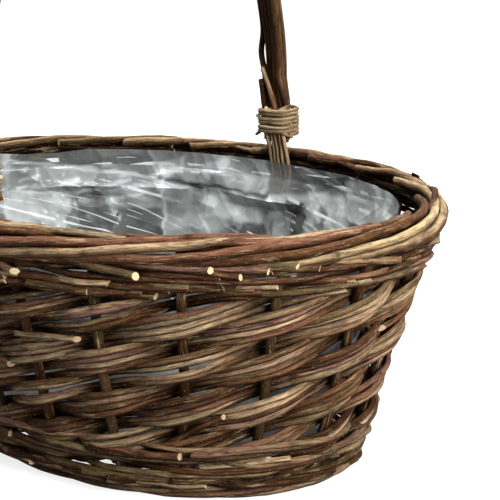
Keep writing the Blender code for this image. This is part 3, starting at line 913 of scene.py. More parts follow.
@dataclass
class Stakes:
    """Upright stakes, each bent over into its own run of the rolled border.

    The rods of the border that the photograph shows have their shades by number.
    """

    wall: Wall
    butt: float = 0.0057
    tip: float = 0.0049
    foot_reach: float = 0.026
    foot_bend: float = 0.004
    wall_from: float = 0.05
    below_turn: tuple[float, float] = (0.010, 0.002)
    lean: float = 0.03
    first_run: float = 0.35
    bulge_share: float = 0.10
    rounding: float = 0.009
    brightness: float = 0.92
    knot_gap: float = 0.032
    finish: BarkFinish = BarkFinish("stake_bark_willow", contrast=0.42, wear_and_sheen=0.5)
    shades: dict[int, Shades] = field(default_factory=lambda: {
        12: (Willow.UMBER, Willow.CHESTNUT),
        13: (Willow.CHESTNUT, Willow.RUSSET),
        14: (Willow.OLIVE, Willow.TAN),
        15: (Willow.CHESTNUT, Willow.RUSSET),
        16: (Willow.OLIVE, Willow.CHESTNUT),
        17: (Willow.CHESTNUT, Willow.STRAW),
        18: (Willow.OLIVE, Willow.TAN),
        19: (Willow.RUSSET, Willow.CHESTNUT),
        0: (Willow.UMBER, Willow.TAN),
        1: (Willow.CHESTNUT, Willow.TAN),
        2: (Willow.OLIVE, Willow.TAN),
        3: (Willow.CHESTNUT, Willow.OLIVE),
        4: (Willow.OLIVE, Willow.SAGE),
        5: (Willow.CHESTNUT, Willow.TAN),
        6: (Willow.OLIVE, Willow.MAUVE),
        7: (Willow.CHESTNUT, Willow.SAGE),
        8: (Willow.OLIVE, Willow.TAN),
    })

    def path(self, number: int) -> tuple[Array, Array]:
        """A stake's path: out of the base, up the wall and round the border, where it bulges a little.

        Args:
            number: The stake's number, which is its station.

        Returns:
            The path, and the outward direction at each of its points.
        """
        wall, low, bend = self.wall, self.wall.base_level, self.foot_bend
        station = float(number)
        run = np.linspace(self.first_run, wall.border_run, 60)
        out, height = wall.border(run)
        bulge = 1 + self.bulge_share * waver(run * wall.spacing, 900 + number, (0.11, 0.05))
        out, height = out * bulge, wall.border_height + (height - wall.border_height) * bulge
        stations = np.concatenate([np.full(5, station), [station + self.lean], station + run])
        rise = [low, low, low + bend, self.wall_from, *(wall.turn_height - drop for drop in self.below_turn)]
        moved = [-self.foot_reach, -bend, 0.0, 0.0, 0.0, 0.0]
        line = wall.point(stations, np.concatenate([rise, height]), np.concatenate([moved, out]))
        path = soften(line, self.rounding)
        reached = travelled(line)
        outward = wall.outward(stations, wall.turn_height)
        return path, unit(at_places(outward, reached, np.linspace(0, reached[-1], len(path))))

    def build(self) -> None:
        """Makes the twenty stakes."""
        rng = np.random.default_rng(11)
        for number in range(self.wall.stakes):
            path, outward = self.path(number)
            shades = self.shades.get(number, pick_shades(rng, 0.5))
            scale = rng.uniform(0.95, 1.06)
            rod = Rod(
                path, outward, self.butt * scale, self.tip * scale, shades, 100 + 7 * number,
                wander=0.0007, knot_gap=self.knot_gap, weathered=0.78, sky=OPEN_SKY,
                dim=np.full(len(path), self.brightness), change=(0.28, 0.5),
            )
            nodes = [f"stake_{number + 1:02d}"]
            put_rods(f"stake_rod_{number + 1:02d}", [rod], self.finish, "stake_bark", nodes)


@dataclass
class Border:
    """What fills the rolled border: rods inside the roll, ends on top of it and cut tips under it.

    The front tips are stations and heights at which the photograph shows a cut end.
    """

    wall: Wall
    filler_lanes: Pairs = ((-0.0030, -0.0012), (0.0028, -0.0020), (0.0, 0.0022))
    filler_parts: int = 4
    filler_lap: float = 0.6
    filler_butt: float = 0.0046
    filler_tip: float = 0.0042
    front_tips: Pairs = (
        (16.55, 0.1432), (17.27, 0.1474), (17.56, 0.1434), (17.82, 0.1466), (18.09, 0.1480), (18.32, 0.1458),
    )
    tip_start: float = 0.1492
    tip_out: float = 0.0030
    highest_tip: float = 0.1475
    last_gap: float = 2.2
    tops_count: int = 13
    top_rise: float = 0.0040
    stub_station: float = 1.78
    stub_foot: float = 0.152
    stub_top: float = 0.1632
    stub_out: float = 0.0035
    stub_butt: float = 0.0052
    stub_tip: float = 0.0050
    finish: BarkFinish = BarkFinish("border_bark_willow", contrast=0.5, wear_and_sheen=0.4)

    def fillers(self) -> list[Rod]:
        """Rods inside the roll, which lap past each other and close it against the light.

        Returns:
            The rods.
        """
        wall, rng, rods = self.wall, np.random.default_rng(311), []
        length = wall.stakes / self.filler_parts
        for out, rise in self.filler_lanes:
            for part in range(self.filler_parts):
                station = length * part + rng.uniform(0, 2) + np.linspace(0, length + self.filler_lap, 180)
                wave = 0.0006 * waver(station * wall.spacing, new_seed(rng))
                line = wall.line(station, wall.border_height + rise, out + wave)
                rods.append(Rod(
                    *line, self.filler_butt, self.filler_tip, (Willow.UMBER, Willow.SHADE), new_seed(rng),
                    sides=8, step=0.004,
                ))
        return rods

    def tips(self) -> list[Rod]:
        """Cut tips of earlier rods: each comes out under the roll and slants down past it.

        Returns:
            The rods.
        """
        wall, rng, rods = self.wall, np.random.default_rng(331), []
        ends = list(self.front_tips)
        while ends[-1][0] < ends[0][0] + wall.stakes - self.last_gap:
            ends.append((ends[-1][0] + rng.uniform(0.7, 1.5), self.highest_tip - rng.uniform(0.003, 0.0085)))
        for stop, level in ends:
            run = np.linspace(0, rng.uniform(0.7, 1.15), 40)
            station = stop - run[-1] + run
            share = run / run[-1]
            out = self.tip_out + share * rng.uniform(0.0042, 0.0060)
            height = self.tip_start + share * (level - self.tip_start)
            size = rng.uniform(0.0034, 0.0043)
            rods.append(Rod(
                *wall.line(station, height, out), size * 1.1, size, pick_shades(rng, 0.3), new_seed(rng),
                sides=10, wander=0.0003, slant=rng.uniform(1.0, 2.0),
                cut_turn=math.pi + rng.uniform(-0.6, 0.6),
            ))
        return rods

    def tops(self) -> list[Rod]:
        """Rod ends that lie along the top of the roll and arch a little, and the upright stub.

        Returns:
            The rods.
        """
        wall, rng, rods = self.wall, np.random.default_rng(353), []
        for number in range(self.tops_count):
            start = number * wall.stakes / self.tops_count + rng.uniform(-0.4, 0.4)
            run = np.linspace(0, rng.uniform(0.9, 1.6), 50)
            share = run / run[-1]
            out = rng.uniform(-0.004, 0.004) + rng.uniform(-0.003, 0.003) * share
            arch = rng.uniform(0.0018, 0.0062) * np.sin(math.pi * share * 0.8)
            line = wall.line(start + run, wall.border_height + self.top_rise + arch, out)
            size = rng.uniform(0.0038, 0.0050)
            rods.append(Rod(
                *line, size, size * 0.95, pick_shades(rng, 0.8), new_seed(rng),
                sky=OPEN_SKY, wander=0.0005, slant=0.9,
            ))
        return [*rods, self.stub()]

    def stub(self) -> Rod:
        """The dark stub that stands up from the border near the basket's end.

        Returns:
            The rod.
        """
        height = np.linspace(self.stub_foot, self.stub_top, 16)
        line = self.wall.line(np.full(16, self.stub_station), height, self.stub_out)
        return Rod(
            *line, self.stub_butt, self.stub_tip, (Willow.UMBER, Willow.UMBER), 359,
            step=0.001, slant=0.45, cut_turn=math.pi,
        )

    def build(self) -> None:
        """Makes the fillers, the ends on top and the tips."""
        put_rods("border_fillers", self.fillers(), self.finish, "stake_bark", [])
        put_rods("border_tops", self.tops(), self.finish, "stake_bark", [], AGED_CUT)
        put_rods("border_tips", self.tips(), self.finish, "stake_bark", [])


@dataclass
class Weave:
    """Slanting bands of four or five weavers, each band in front of one stake and behind the next.

    A band is a little taller where it passes a stake, by the share spread, so that it laps its neighbours.
    """

    wall: Wall
    spread: float = 0.14
    first_start: float = -0.55
    last_stop: float = -0.45
    waver_out: float = 0.0007
    waver_height: float = 0.0005
    lowest: float = 0.0290
    highest: float = 0.1345
    levelling: float = 0.003
    # Brightness share of the painted shade where a weaver passes behind a stake.
    painted_shade_brightness: float = 0.16
    thin_share: float = 0.3
    fullness: float = 1.12
    pitch_share: float = 1.04
    stray_count: int = 15
    stray_levels: tuple[float, ...] = (0.030, 0.034, 0.044, 0.060, 0.080, 0.100, 0.118)
    stray_climbs: tuple[float, ...] = (-0.7, 0.4, 1.5, 2.2)
    finish: BarkFinish = BarkFinish("weaver_bark_willow")

    def rod(self, band: int, offset: float, size: float, rng: Random) -> Rod:
        """One weaver: height rises by the same step at each stake and out swings as a cosine of the run.

        It levels out above the lower wale and under the upper one, and has painted shade behind the stakes.

        Args:
            band: The band's number, which is the station that it starts from.
            offset: Height of the rod within its band.
            size: Its thickness.
            rng: Random numbers of the weave.

        Returns:
            The rod.
        """
        wall = self.wall
        first = self.first_start - rng.uniform(0, 0.45)
        run = np.linspace(first, wall.courses + self.last_stop + rng.uniform(0.0, 0.75), 300)
        way = run * wall.spacing
        swing = wall.stake_diameter / 2 + size / 2 + rng.uniform(0.0002, 0.0016)
        turn = np.cos(math.pi * run)
        out = swing * turn + self.waver_out * waver(way, new_seed(rng))
        height = wall.first_course + wall.course_rise * run + offset * (1 + self.spread * np.abs(turn))
        height = height + rng.uniform(-0.0004, 0.0004) * (run - wall.courses / 2)
        height = height + rng.uniform(-0.0006, 0.0006)
        height = height + self.waver_height * waver(way, new_seed(rng), (0.16, 0.08))
        low, high = self.lowest + 0.35 * offset, self.highest + 0.45 * offset
        height = low + soft_floor(height - low, self.levelling)
        height = high - soft_floor(high - height, self.levelling)
        tail = np.clip((run - (wall.courses - 0.6)) / 0.5, 0, 1)
        out = out + tail**2 * rng.uniform(0.0, 0.003)
        # Painted shade: the weaver is darker where it passes behind a stake.
        in_front = np.clip(0.60 + 0.62 * out / swing, 0, 1)
        dim = self.painted_shade_brightness + (1 - self.painted_shade_brightness) * in_front
        return Rod(
            *wall.line(band + run, height, out, height), size * 1.06, size * 0.9,
            pick_shades(rng, 0.6), new_seed(rng), sides=10, dim=dim, wander=0.0004,
        )

    def strays(self) -> list[Rod]:
        """Ends of weavers that come out of the bands, cross them steeply and stop with a cut.

        Returns:
            The rods.
        """
        wall, rng, rods = self.wall, np.random.default_rng(29), []
        for number in range(self.stray_count):
            stop = number * wall.stakes / self.stray_count + rng.uniform(-0.4, 0.4)
            run = np.linspace(-rng.uniform(0.9, 1.6), 0, 50)
            share = 1 + run / -run[0]
            out = 0.0010 + share * rng.uniform(0.0048, 0.0066)
            climb = wall.course_rise * rng.choice(self.stray_climbs)
            level = rng.choice(self.stray_levels) + rng.uniform(-0.003, 0.003)
            line = wall.line(stop + run, level + climb * (share - 1), out, level)
            size = rng.uniform(0.0026, 0.0036)
            rods.append(Rod(
                *line, size * 1.1, size, pick_shades(rng, 0.6), new_seed(rng),
                sides=10, wander=0.0005, slant=rng.uniform(0.4, 1.6), cut_turn=math.pi,
            ))
        return rods

    def build(self) -> None:
        """Makes all the bands, each of four stout weavers or five thin ones, and the stray ends."""
        rng = np.random.default_rng(23)
        rise = self.wall.course_rise
        for band in range(self.wall.stakes):
            count = 4 if rng.uniform() < 1 - self.thin_share else 5
            sizes = self.fullness * rise / count * rng.uniform(0.86, 1.14, count)
            pitch = self.pitch_share * rise / count
            offsets = (np.arange(count) - (count - 1) / 2) * pitch + rng.uniform(-0.0004, 0.0004, count)
            rods = [self.rod(band, offset, size, rng) for offset, size in zip(offsets, sizes)]
            nodes = [f"weaver_band_{band + 1:02d}"]
            put_rods(f"weavers_{band + 1:02d}", rods, self.finish, "weaver_bark", nodes, AGED_CUT)
        put_rods("weaver_ends", self.strays(), self.finish, "weaver_bark", [], AGED_CUT)


@dataclass
class Rounds:
    """Level rounds of weaving: the wale under the border, the wale above the foot, and the foot itself.

    Each row of a wale is given by its rise from the wale's level and how far it is moved out.
    """

    wall: Wall
    upper_rows: Pairs = (
        (-0.0083, 0.0010), (-0.0046, 0.0), (-0.0009, 0.0), (0.0028, 0.0006), (0.0062, 0.0),
    )
    lower_rows: Pairs = (
        (-0.0098, 0.0022), (-0.0066, 0.0012), (-0.0033, 0.0), (0.0, 0.0), (0.0036, 0.0003),
        (0.0071, 0.0010), (0.0105, 0.0018), (0.0140, 0.0024), (-0.0092, 0.0008), (-0.0086, 0.0012),
    )
    upper_size: float = 0.0038
    lower_size: float = 0.0041
    # Painted shade under the border darkens the upper wale.
    upper_shaded_brightness: float = 0.55
    lower_brightness: float = 0.66
    rods_a_row: int = 4
    lap: float = 0.8
    foot_rods: int = 16
    foot_run: float = 7.2
    foot_turn: float = math.radians(50)
    foot_out: float = -0.0010
    foot_half_width: float = 0.0050
    foot_height: float = 0.0055
    foot_half_height: float = 0.0033
    foot_brightness: float = 0.62
    finish: BarkFinish = BarkFinish("wale_bark_willow", contrast=0.5, wear_and_sheen=0.4)

    def wale(self, level: float, rows: Pairs, size: float, seed: int, brightness: float) -> list[Rod]:
        """Rods of a wale, each some stakes long, in front of three stakes and behind the fourth.

        Args:
            level: The wale's height.
            rows: Its rows.
            size: Rod diameter.
            seed: Seed of the rods' differences.
            brightness: Share of brightness in front of the stakes; behind them the rods get painted shade.

        Returns:
            The rods.
        """
        wall, rng, rods = self.wall, np.random.default_rng(seed), []
        length = wall.stakes / self.rods_a_row
        for lane, (rise, moved) in enumerate(rows):
            for part in range(self.rods_a_row):
                start = length * part + rng.uniform(0, 1.2) + 1.7 * lane
                run = np.linspace(0, length + rng.uniform(0.5, 1.3), 200)
                station = start + run
                thick = size * rng.uniform(0.85, 1.15)
                swing = wall.stake_diameter / 2 + thick / 2 + 0.0004
                behind = np.clip(np.cos(math.tau * (station - 1 - lane) / 4), 0, 1) ** 1.6
                near_start = np.clip(1 - run / self.lap, 0, 1)
                near_end = np.clip((run - run[-1] + self.lap) / self.lap, 0, 1)
                out = swing * (1 - 2 * behind) + moved + (near_start + near_end) * size * 0.7
                drift = rng.uniform(-0.0016, 0.0016) * (run / 2.5 - 1)
                height = level + rise + drift + 0.0005 * waver(station * wall.spacing, new_seed(rng))
                # Painted shade: rods are darker where they pass behind a stake.
                rods.append(Rod(
                    *wall.line(station, height, out, height), thick, thick * 0.85, pick_shades(rng, 0.1),
                    new_seed(rng), sides=10, wander=0.0005, dim=brightness * (1 - 0.6 * behind),
                ))
        return rods

    def foot(self) -> list[Rod]:
        """Rods of the foot, which roll round its ring as out + r sin t and height - r cos t.

        Returns:
            The rods.
        """
        wall, rng, rods = self.wall, np.random.default_rng(57), []
        a, b = wall.base_half_length, wall.base_half_width
        for number in range(self.foot_rods):
            run = np.linspace(0, self.foot_run, 220)
            turned = run * self.foot_turn + rng.uniform(-0.15, 0.15)
            size = rng.uniform(0.0037, 0.0042)
            out = self.foot_out + self.foot_half_width * np.sin(turned)
            height = self.foot_height - self.foot_half_height * np.cos(turned)
            angle = wall.angle(number * wall.stakes / self.foot_rods + run)
            across = unit(np.stack([b * np.cos(angle), a * np.sin(angle)], axis=-1))
            flat = np.stack([a * np.cos(angle), b * np.sin(angle)], axis=-1)
            path = np.column_stack([flat + out[:, None] * across, height])
            outward = np.column_stack([across, np.zeros(len(across))])
            rods.append(Rod(
                path, outward, size, size * 0.9, pick_shades(rng, 0.2), new_seed(rng),
                sides=10, dim=np.full(len(run), self.foot_brightness), wander=0.0002, slant=0.4,
            ))
        return rods

    def build(self) -> None:
        """Makes the two wales and the foot."""
        wall = self.wall
        upper = self.wale(wall.upper_wale_level, self.upper_rows, self.upper_size, 71, self.upper_shaded_brightness)
        put_rods("upper_wale_rods", upper, self.finish, "wale_bark", ["upper_wale"], AGED_CUT)
        lower = self.wale(wall.lower_wale_level, self.lower_rows, self.lower_size, 73, self.lower_brightness)
        put_rods("lower_wale_rods", lower, self.finish, "wale_bark", ["lower_wale"], AGED_CUT)
        put_rods("foot_ring_rods", self.foot(), self.finish, "wale_bark", ["foot_ring"])


@dataclass
class Base:
    """The oval base: sticks, and rounds of thin weavers over one stick and under the next."""

    wall: Wall
    cross_share: float = 0.42
    cross_diameter: float = 0.0070
    long_diameter: float = 0.0045
    stick_inset: float = 0.025
    weaver_size: float = 0.0039
    weaver_pitch: float = 0.0037
    first_inset: float = 0.0248
    edge_room: float = 0.0245
    middle_room: float = 0.005
    ring_gap: float = 0.002
    ring_lap: float = 0.001
    innermost: float = 0.0046
    edge_size: float = 0.0034
    edge_inset: float = 0.0098
    edge_pitch: float = 0.0042
    edge_lanes: int = 4
    round_share: float = 0.995
    finish: BarkFinish = BarkFinish("base_bark_willow", contrast=0.36, wear_and_sheen=0.5)

    def sticks(self) -> None:
        """Three cross sticks and the long stick threaded through them, carried along straight lines."""
        wall = self.wall
        half_length = wall.base_half_length - self.stick_inset
        half_width = wall.base_half_width - self.stick_inset
        places = [wall.base_half_length * share for share in (-self.cross_share, 0.0, self.cross_share)]
        for number, x in enumerate(places):
            reach = half_width * math.sqrt(1 - ((abs(x) + self.cross_diameter / 2) / half_length) ** 2)
            y = np.linspace(-reach, reach, 40)
            path = np.column_stack([np.full(40, x), y, np.full(40, wall.base_level)])
            rod = Rod(
                path, UP, self.cross_diameter, self.cross_diameter, (Willow.OLIVE, Willow.CHESTNUT),
                300 + number, wander=0.0001,
            )
            nodes = [f"cross_stick_{number + 1}"]
            put_rods(f"base_cross_{number + 1}", [rod], self.finish, "base_stick_wood", nodes)
        x = np.linspace(-half_length * 0.998, half_length * 0.998, 80)
        path = np.column_stack([x, np.zeros(80), np.full(80, wall.base_level)])
        shades = (Willow.OLIVE, Willow.TAN)
        rod = Rod(path, UP, self.long_diameter, self.long_diameter, shades, 310, wander=0.0001)
        put_rods("base_long", [rod], self.finish, "base_stick_wood", ["long_stick"])

    def round_rod(self, inset: float, side: float, rng: Random) -> Rod:
        """One weaver of the base, over and under the sticks: height = level + side rise cos(pi phase(x)).

        The phase grows by one from stick to stick, and the last one ends where the oval does.

        Args:
            inset: How far inside the base's edge it runs.
            side: One where it starts over the sticks, and minus one where it starts under them.
            rng: Random numbers of the base.

        Returns:
            The rod.
        """
        wall = self.wall
        half_length, half_width = wall.base_half_length - inset, wall.base_half_width - inset
        rise = self.cross_diameter / 2 + self.weaver_size / 2
        angle = rng.uniform(0, math.tau) + np.linspace(0, math.tau * self.round_share, 260)
        x, y = half_length * np.cos(angle), half_width * np.sin(angle)
        outer = wall.base_half_length * self.cross_share
        crosses_all = half_length > outer + 0.008
        crossed = [-outer, 0.0, outer] if crosses_all else [0.0]
        end = half_length if crosses_all else min(half_length, outer - 0.006)
        sticks = np.array([-end, *crossed, end])
        phase = np.interp(x, sticks, np.arange(len(sticks)))
        path = np.column_stack([x, y, wall.base_level + side * rise * np.cos(math.pi * phase)])
        return Rod(
            path, UP, self.weaver_size, self.weaver_size * 0.92, pick_shades(rng, 0.3), new_seed(rng),
            sides=7, step=0.004, wander=0.0002,
        )

    def rounds(self, rng: Random) -> None:
        """The two broad rounds of weavers, and one more weaver that closes the middle.

        Args:
            rng: Random numbers of the base.
        """
        wall = self.wall
        room = wall.base_half_width - self.edge_room - self.middle_room - self.long_diameter / 2
        width = room / 2 - self.ring_gap
        filled = width + self.ring_gap + self.ring_lap
        count = round(filled / self.weaver_pitch)
        for ring in range(2):
            first = self.first_inset + ring * (width + self.ring_gap)
            insets = first + (np.arange(count) + 0.5) * filled / count
            if ring:
                insets = np.append(insets, wall.base_half_width - self.innermost)
            rods = [self.round_rod(inset, (-1.0) ** ring, rng) for inset in insets]
            nodes = [f"base_ring_{ring + 1}"]
            put_rods(f"base_weavers_{ring + 1}", rods, self.finish, "base_weave_bark", nodes)

    def edge(self, rng: Random) -> None:
        """The edge round, over one stake and under the next, that locks the stakes' feet.

        Args:
            rng: Random numbers of the base.
        """
        wall, size, rods = self.wall, self.edge_size, []
        for lane in range(self.edge_lanes):
            station = rng.uniform(0, wall.stakes) + np.linspace(0, wall.stakes * self.round_share, 400)
            rise = (-1.0) ** lane * (wall.stake_diameter / 2 + size / 2)
            angle = wall.angle(station)
            inset = self.edge_inset + self.edge_pitch * lane
            x = (wall.base_half_length - inset) * np.cos(angle)
            y = (wall.base_half_width - inset) * np.sin(angle)
            path = np.column_stack([x, y, wall.base_level + rise * np.cos(math.pi * station)])
            shades = pick_shades(rng, 0.3)
            rods.append(Rod(path, UP, size, size, shades, new_seed(rng), sides=7, wander=0.0002))
        put_rods("base_edge_weavers", rods, self.finish, "base_weave_bark", ["base_edge_ring"])

    def build(self) -> None:
        """Makes the sticks, the rounds and the edge."""
        rng = np.random.default_rng(91)
        self.sticks()
        self.rounds(rng)
        self.edge(rng)


@dataclass
class Hoop:
    """The handle's hoop of thin rods, across the basket's short axis.

    Each layer has its distance out from the hoop's middle line and the places of its rods along the
    basket, and so has each rod of the frame.
    """

    rise: float = 0.185
    foot_height: float = 0.1689
    spring_height: float = 0.2009
    half_span: float = 0.13748
    frame_rod_diameter: float = 0.0062
    frame_out: float = 0.0028
    frame_rods: Pairs = (
        (-0.0065, 0.0028), (0.0, 0.0028), (0.0065, 0.0028), (-0.00325, -0.0028), (0.00325, -0.0028),
    )
    layers: tuple[tuple[float, tuple[float, ...]], ...] = (
        (0.0039, (-0.0079, -0.00395, 0.0, 0.00395, 0.0079)),
        (0.0004, (-0.006, -0.002, 0.002, 0.006)),
        (-0.0031, (-0.004, 0.0, 0.004)),
    )
    size: float = 0.0039
    stray: float = 0.0007
    sway: float = 0.0030
    loose_rod: tuple[float, float] = (0.0039, -0.0079)
    loose_reach: float = 0.0034
    loose_share: float = 0.101
    loose_width: float = 0.020
    shades: tuple[Shades, ...] = (
        (Willow.UMBER, Willow.CHESTNUT),
        (Willow.CHESTNUT, Willow.MAUVE),
        (Willow.UMBER, Willow.OLIVE),
        (Willow.CHESTNUT, Willow.UMBER),
    )
    finish: BarkFinish = BarkFinish("hoop_bark_willow", contrast=0.4, wear_and_sheen=0.14)

    def arch(self, sideways: Array, outwards: Array) -> Array:
        """Points along the hoop, straight legs and then a half oval.

        Args:
            sideways: Distance along X for each of the points.
            outwards: Distance out from the hoop's middle line.

        Returns:
            The points, from the back foot to the front one.
        """
        turn = np.linspace(0, math.pi, 160)
        leg = np.linspace(self.foot_height, self.spring_height, 16)[:-1]
        side = np.full(len(leg), self.half_span)
        y = np.concatenate([side, self.half_span * np.cos(turn), -side])
        z = np.concatenate([leg, self.spring_height + self.rise * np.sin(turn), leg[::-1]])
        line = np.column_stack([np.zeros(len(y)), y, z])
        reached = travelled(line) / travelled(line)[-1]
        line = at_places(line, reached, np.linspace(0, 1, len(sideways)))
        normal = np.cross(ALONG_BASKET, unit(np.gradient(line, axis=0)))
        return line + sideways[:, None] * ALONG_BASKET + outwards[:, None] * normal

    def build(self) -> None:
        """Makes the hoop's thin rods, which turn slowly about its middle line and stray a little.

        Each goes with the nearest of the frame's five rods. One leaves the others for a while above the
        back foot, and the whole hoop sways to that side.
        """
        rng = np.random.default_rng(131)
        groups: dict[int, list[Rod]] = {number + 1: [] for number in range(len(self.frame_rods))}
        way = np.linspace(0, 1, 300)
        free = np.clip(np.minimum(way, 1 - way) / 0.04 - 1.0, 0, 1)
        turn = 0.30 * np.sin(math.tau * 1.6 * way + 0.4) * free
        sway = self.sway * np.clip((way - 0.045) / 0.03, 0, 1) * np.clip((0.5 - way) / 0.3, 0, 1)
        loose = self.loose_reach * np.exp(-(((way - self.loose_share) / self.loose_width) ** 2))
        stray = self.stray * free
        for outwards, row in self.layers:
            for place in row:
                gaps = [math.dist(rod, (place, outwards)) for rod in self.frame_rods]
                nearest = gaps.index(min(gaps)) + 1
                seed = 520 + int(rng.integers(1 << 16))
                x = place * np.cos(turn) - outwards * np.sin(turn)
                out = place * np.sin(turn) + outwards * np.cos(turn)
                x = x + stray * waver(way * 0.5, seed, (0.2, 0.09))
                out = out + stray * waver(way * 0.5, seed + 1, (0.2, 0.09))
                x = x * (1 - 0.06 * free) - sway
                if (outwards, place) == self.loose_rod:
                    x = x - loose
                size = self.size * rng.uniform(0.9, 1.08)
                shades = self.shades[int(rng.integers(len(self.shades)))]
                groups[nearest].append(Rod(
                    self.arch(x, out), ALONG_BASKET, size, size * 0.97, shades, seed + 2,
                    wander=0.0002, knot_gap=0.06, weathered=0.45,
                ))
        for number, rods in groups.items():
            put_rods(f"hoop_willow_{number}", rods, self.finish, "hoop_bark", [f"hoop_rod_{number}"])


@dataclass
class HandleFoot:
    """A foot of the handle: thin rods side by side, the lashing round them and the hoop, and cut stubs.

    All is laid out for the back foot, and turn, one or minus one, carries it to the foot's own side.
    """

    wall: Wall
    hoop: Hoop
    side: str
    turn: float
    seed: int
    lash_start: float = 0.1730
    lash_height: float = 0.0182
    lash_turns: float = 6.5
    lash_diameter: float = 0.0027
    lash_clearance: float = 0.0009
    lash_power: float = 0.5
    comb_y: float = 0.12966
    comb_rods: int = 5
    comb_pitch: float = 0.0034
    comb_aside: float = 0.0010
    comb_slant: float = 0.0064
    comb_level: float = 0.1474
    comb_depth: float = 0.075
    comb_half_thickness: float = 0.0016
    comb_shades: tuple[Shades, ...] = (
        (Willow.TAN, Willow.SAGE),
        (Willow.TAN, Willow.MAUVE),
        (Willow.SAGE, Willow.CHESTNUT),
    )
    wale_below_turn: float = 0.0106
    wale_inset: float = 0.0089
    comb_finish: BarkFinish = BarkFinish("foot_rod_bark_willow", contrast=0.34, wear_and_sheen=0.4)
    lash_finish: BarkFinish = BarkFinish("lashing_bark_willow", contrast=0.32, wear_and_sheen=0.45)

    def lashing(self) -> Rod:
        """A thin rod wound round hoop and foot rods: a helix whose section is a rounded box.

        Its x and y are a |cos t|^(1/2) and b |sin t|^(1/2) with their signs, and it climbs a pitch each turn.

        Returns:
            The rod.
        """
        hoop, radius = self.hoop, self.lash_diameter / 2
        outer = hoop.half_span + hoop.frame_out + hoop.frame_rod_diameter / 2
        inner = self.comb_y - self.comb_half_thickness
        half_depth = (outer - inner) / 2 + self.lash_clearance + radius
        half_width = hoop.frame_rod_diameter * 1.5 + 0.0003 + self.lash_clearance + radius
        t = np.linspace(0, math.tau * self.lash_turns, 640)
        x = half_width * np.sign(np.cos(t)) * np.abs(np.cos(t)) ** self.lash_power
        y = (outer + inner) / 2 + half_depth * np.sign(np.sin(t)) * np.abs(np.sin(t)) ** self.lash_power
        z = self.lash_start + self.lash_height * t / t[-1]
        uneven = 0.00035 * waver(t * 0.01, self.seed, (0.11, 0.05))
        path = soften(np.column_stack([self.turn * x, self.turn * (y + uneven), z + uneven]), 0.003)
        return Rod(
            path, UP, self.lash_diameter * 1.1, self.lash_diameter * 0.96, (Willow.SAGE, Willow.TAN),
            self.seed, step=0.0015, wander=0.0002, knot_gap=0.05, weathered=0.35,
        )

    def at_foot(self, start: tuple[float, ...], stop: tuple[float, ...], count: int) -> Array:
        """A straight line given from the hoop's middle line and the lashing's lower edge.

        Args:
            start: Its first point.
            stop: Its last point.
            count: How many points it has.

        Returns:
            The points.
        """
        line = np.linspace(start, stop, count) + np.array([0.0, self.hoop.half_span, self.lash_start])
        return line * np.array([self.turn, self.turn, 1.0])

    def tucked(self) -> list[Rod]:
        """Short ends of the lashing that stick out above and below it.

        Returns:
            The rods.
        """
        size = self.lash_diameter / 2
        ends = (
            ((0.0085, -0.0105, 0.0175), (0.0128, -0.0062, 0.0202)),
            ((-0.0098, -0.0100, 0.0010), (-0.0150, -0.0070, -0.0018)),
            ((0.0090, -0.0098, 0.0022), (0.0140, -0.0060, -0.0012)),
            ((-0.0100, -0.0098, 0.0100), (-0.0142, -0.0075, 0.0112)),
        )
        return [
            Rod(
                self.at_foot(start, stop, 8), UP, size * 1.7, size * 1.5, (Willow.TAN, Willow.CHESTNUT),
                660 + number, step=0.001, wander=0.0, weathered=0.0,
            )
            for number, (start, stop) in enumerate(ends)
        ]

    def comb(self) -> list[Rod]:
        """Thin rods side by side, from under the lashing aslant down between wall and liner.

        Returns:
            The rods.
        """
        wall, rng, rods = self.wall, np.random.default_rng(self.seed), []
        low, high = wall.border_height - self.comb_depth, self.lash_start + self.lash_height - 0.0020
        z = np.linspace(high, low, 80)
        wale = wall.turn_height - self.wale_below_turn
        wall_y = wall.half_sizes(z)[1] - self.wale_inset
        at_wale = wall.half_sizes(wale)[1] - self.wale_inset
        over_wale = np.interp(z, [wale, self.comb_level], [at_wale, self.comb_y])
        y = np.where(z > wale, over_wale, wall_y)
        slant = self.comb_slant * np.clip((0.1765 - z) / 0.030, 0, 1)
        for number in range(self.comb_rods):
            x = (number - (self.comb_rods - 1) / 2) * self.comb_pitch + self.comb_aside + slant
            x = x + rng.uniform(-0.0003, 0.0003)
            stray = 0.0003 * waver(z, new_seed(rng), (0.03, 0.017))
            path = soften(np.column_stack([self.turn * (x + stray), self.turn * (y + stray), z]), 0.004)
            size = rng.uniform(0.0028, 0.0033)
            shades = self.comb_shades[number % len(self.comb_shades)]
            rods.append(Rod(
                path, ALONG_BASKET, size * 0.94, size, shades, new_seed(rng),
                step=0.002, wander=0.0002, knot_gap=0.04, weathered=0.35,
            ))
        return rods

    def stubs(self) -> list[Rod]:
        """A thick cut stub that leans out beside the hoop's foot, and a thin rod that leans across it.

        Returns:
            The rods.
        """
        thick = ((-0.0076, -0.0032, -0.0010), (-0.0112, -0.0056, 0.0355), 0.0062)
        thin = ((0.0020, -0.0078, 0.0165), (-0.0098, -0.0074, 0.0440), 0.0032)
        shades = ((Willow.CHESTNUT, Willow.UMBER), (Willow.CHESTNUT, Willow.TAN))
        bow = 0.0006 * np.sin(np.linspace(0, math.pi, 30))
        rods = []
        for number, (start, stop, size) in enumerate((thick, thin)):
            line = self.at_foot(start, stop, 30)
            line[:, 1] += self.turn * bow
            rods.append(Rod(
                line, ALONG_BASKET, size, size * 0.93, shades[number], 611 + number,
                wander=0.0002, weathered=0.2,
            ))
        return rods

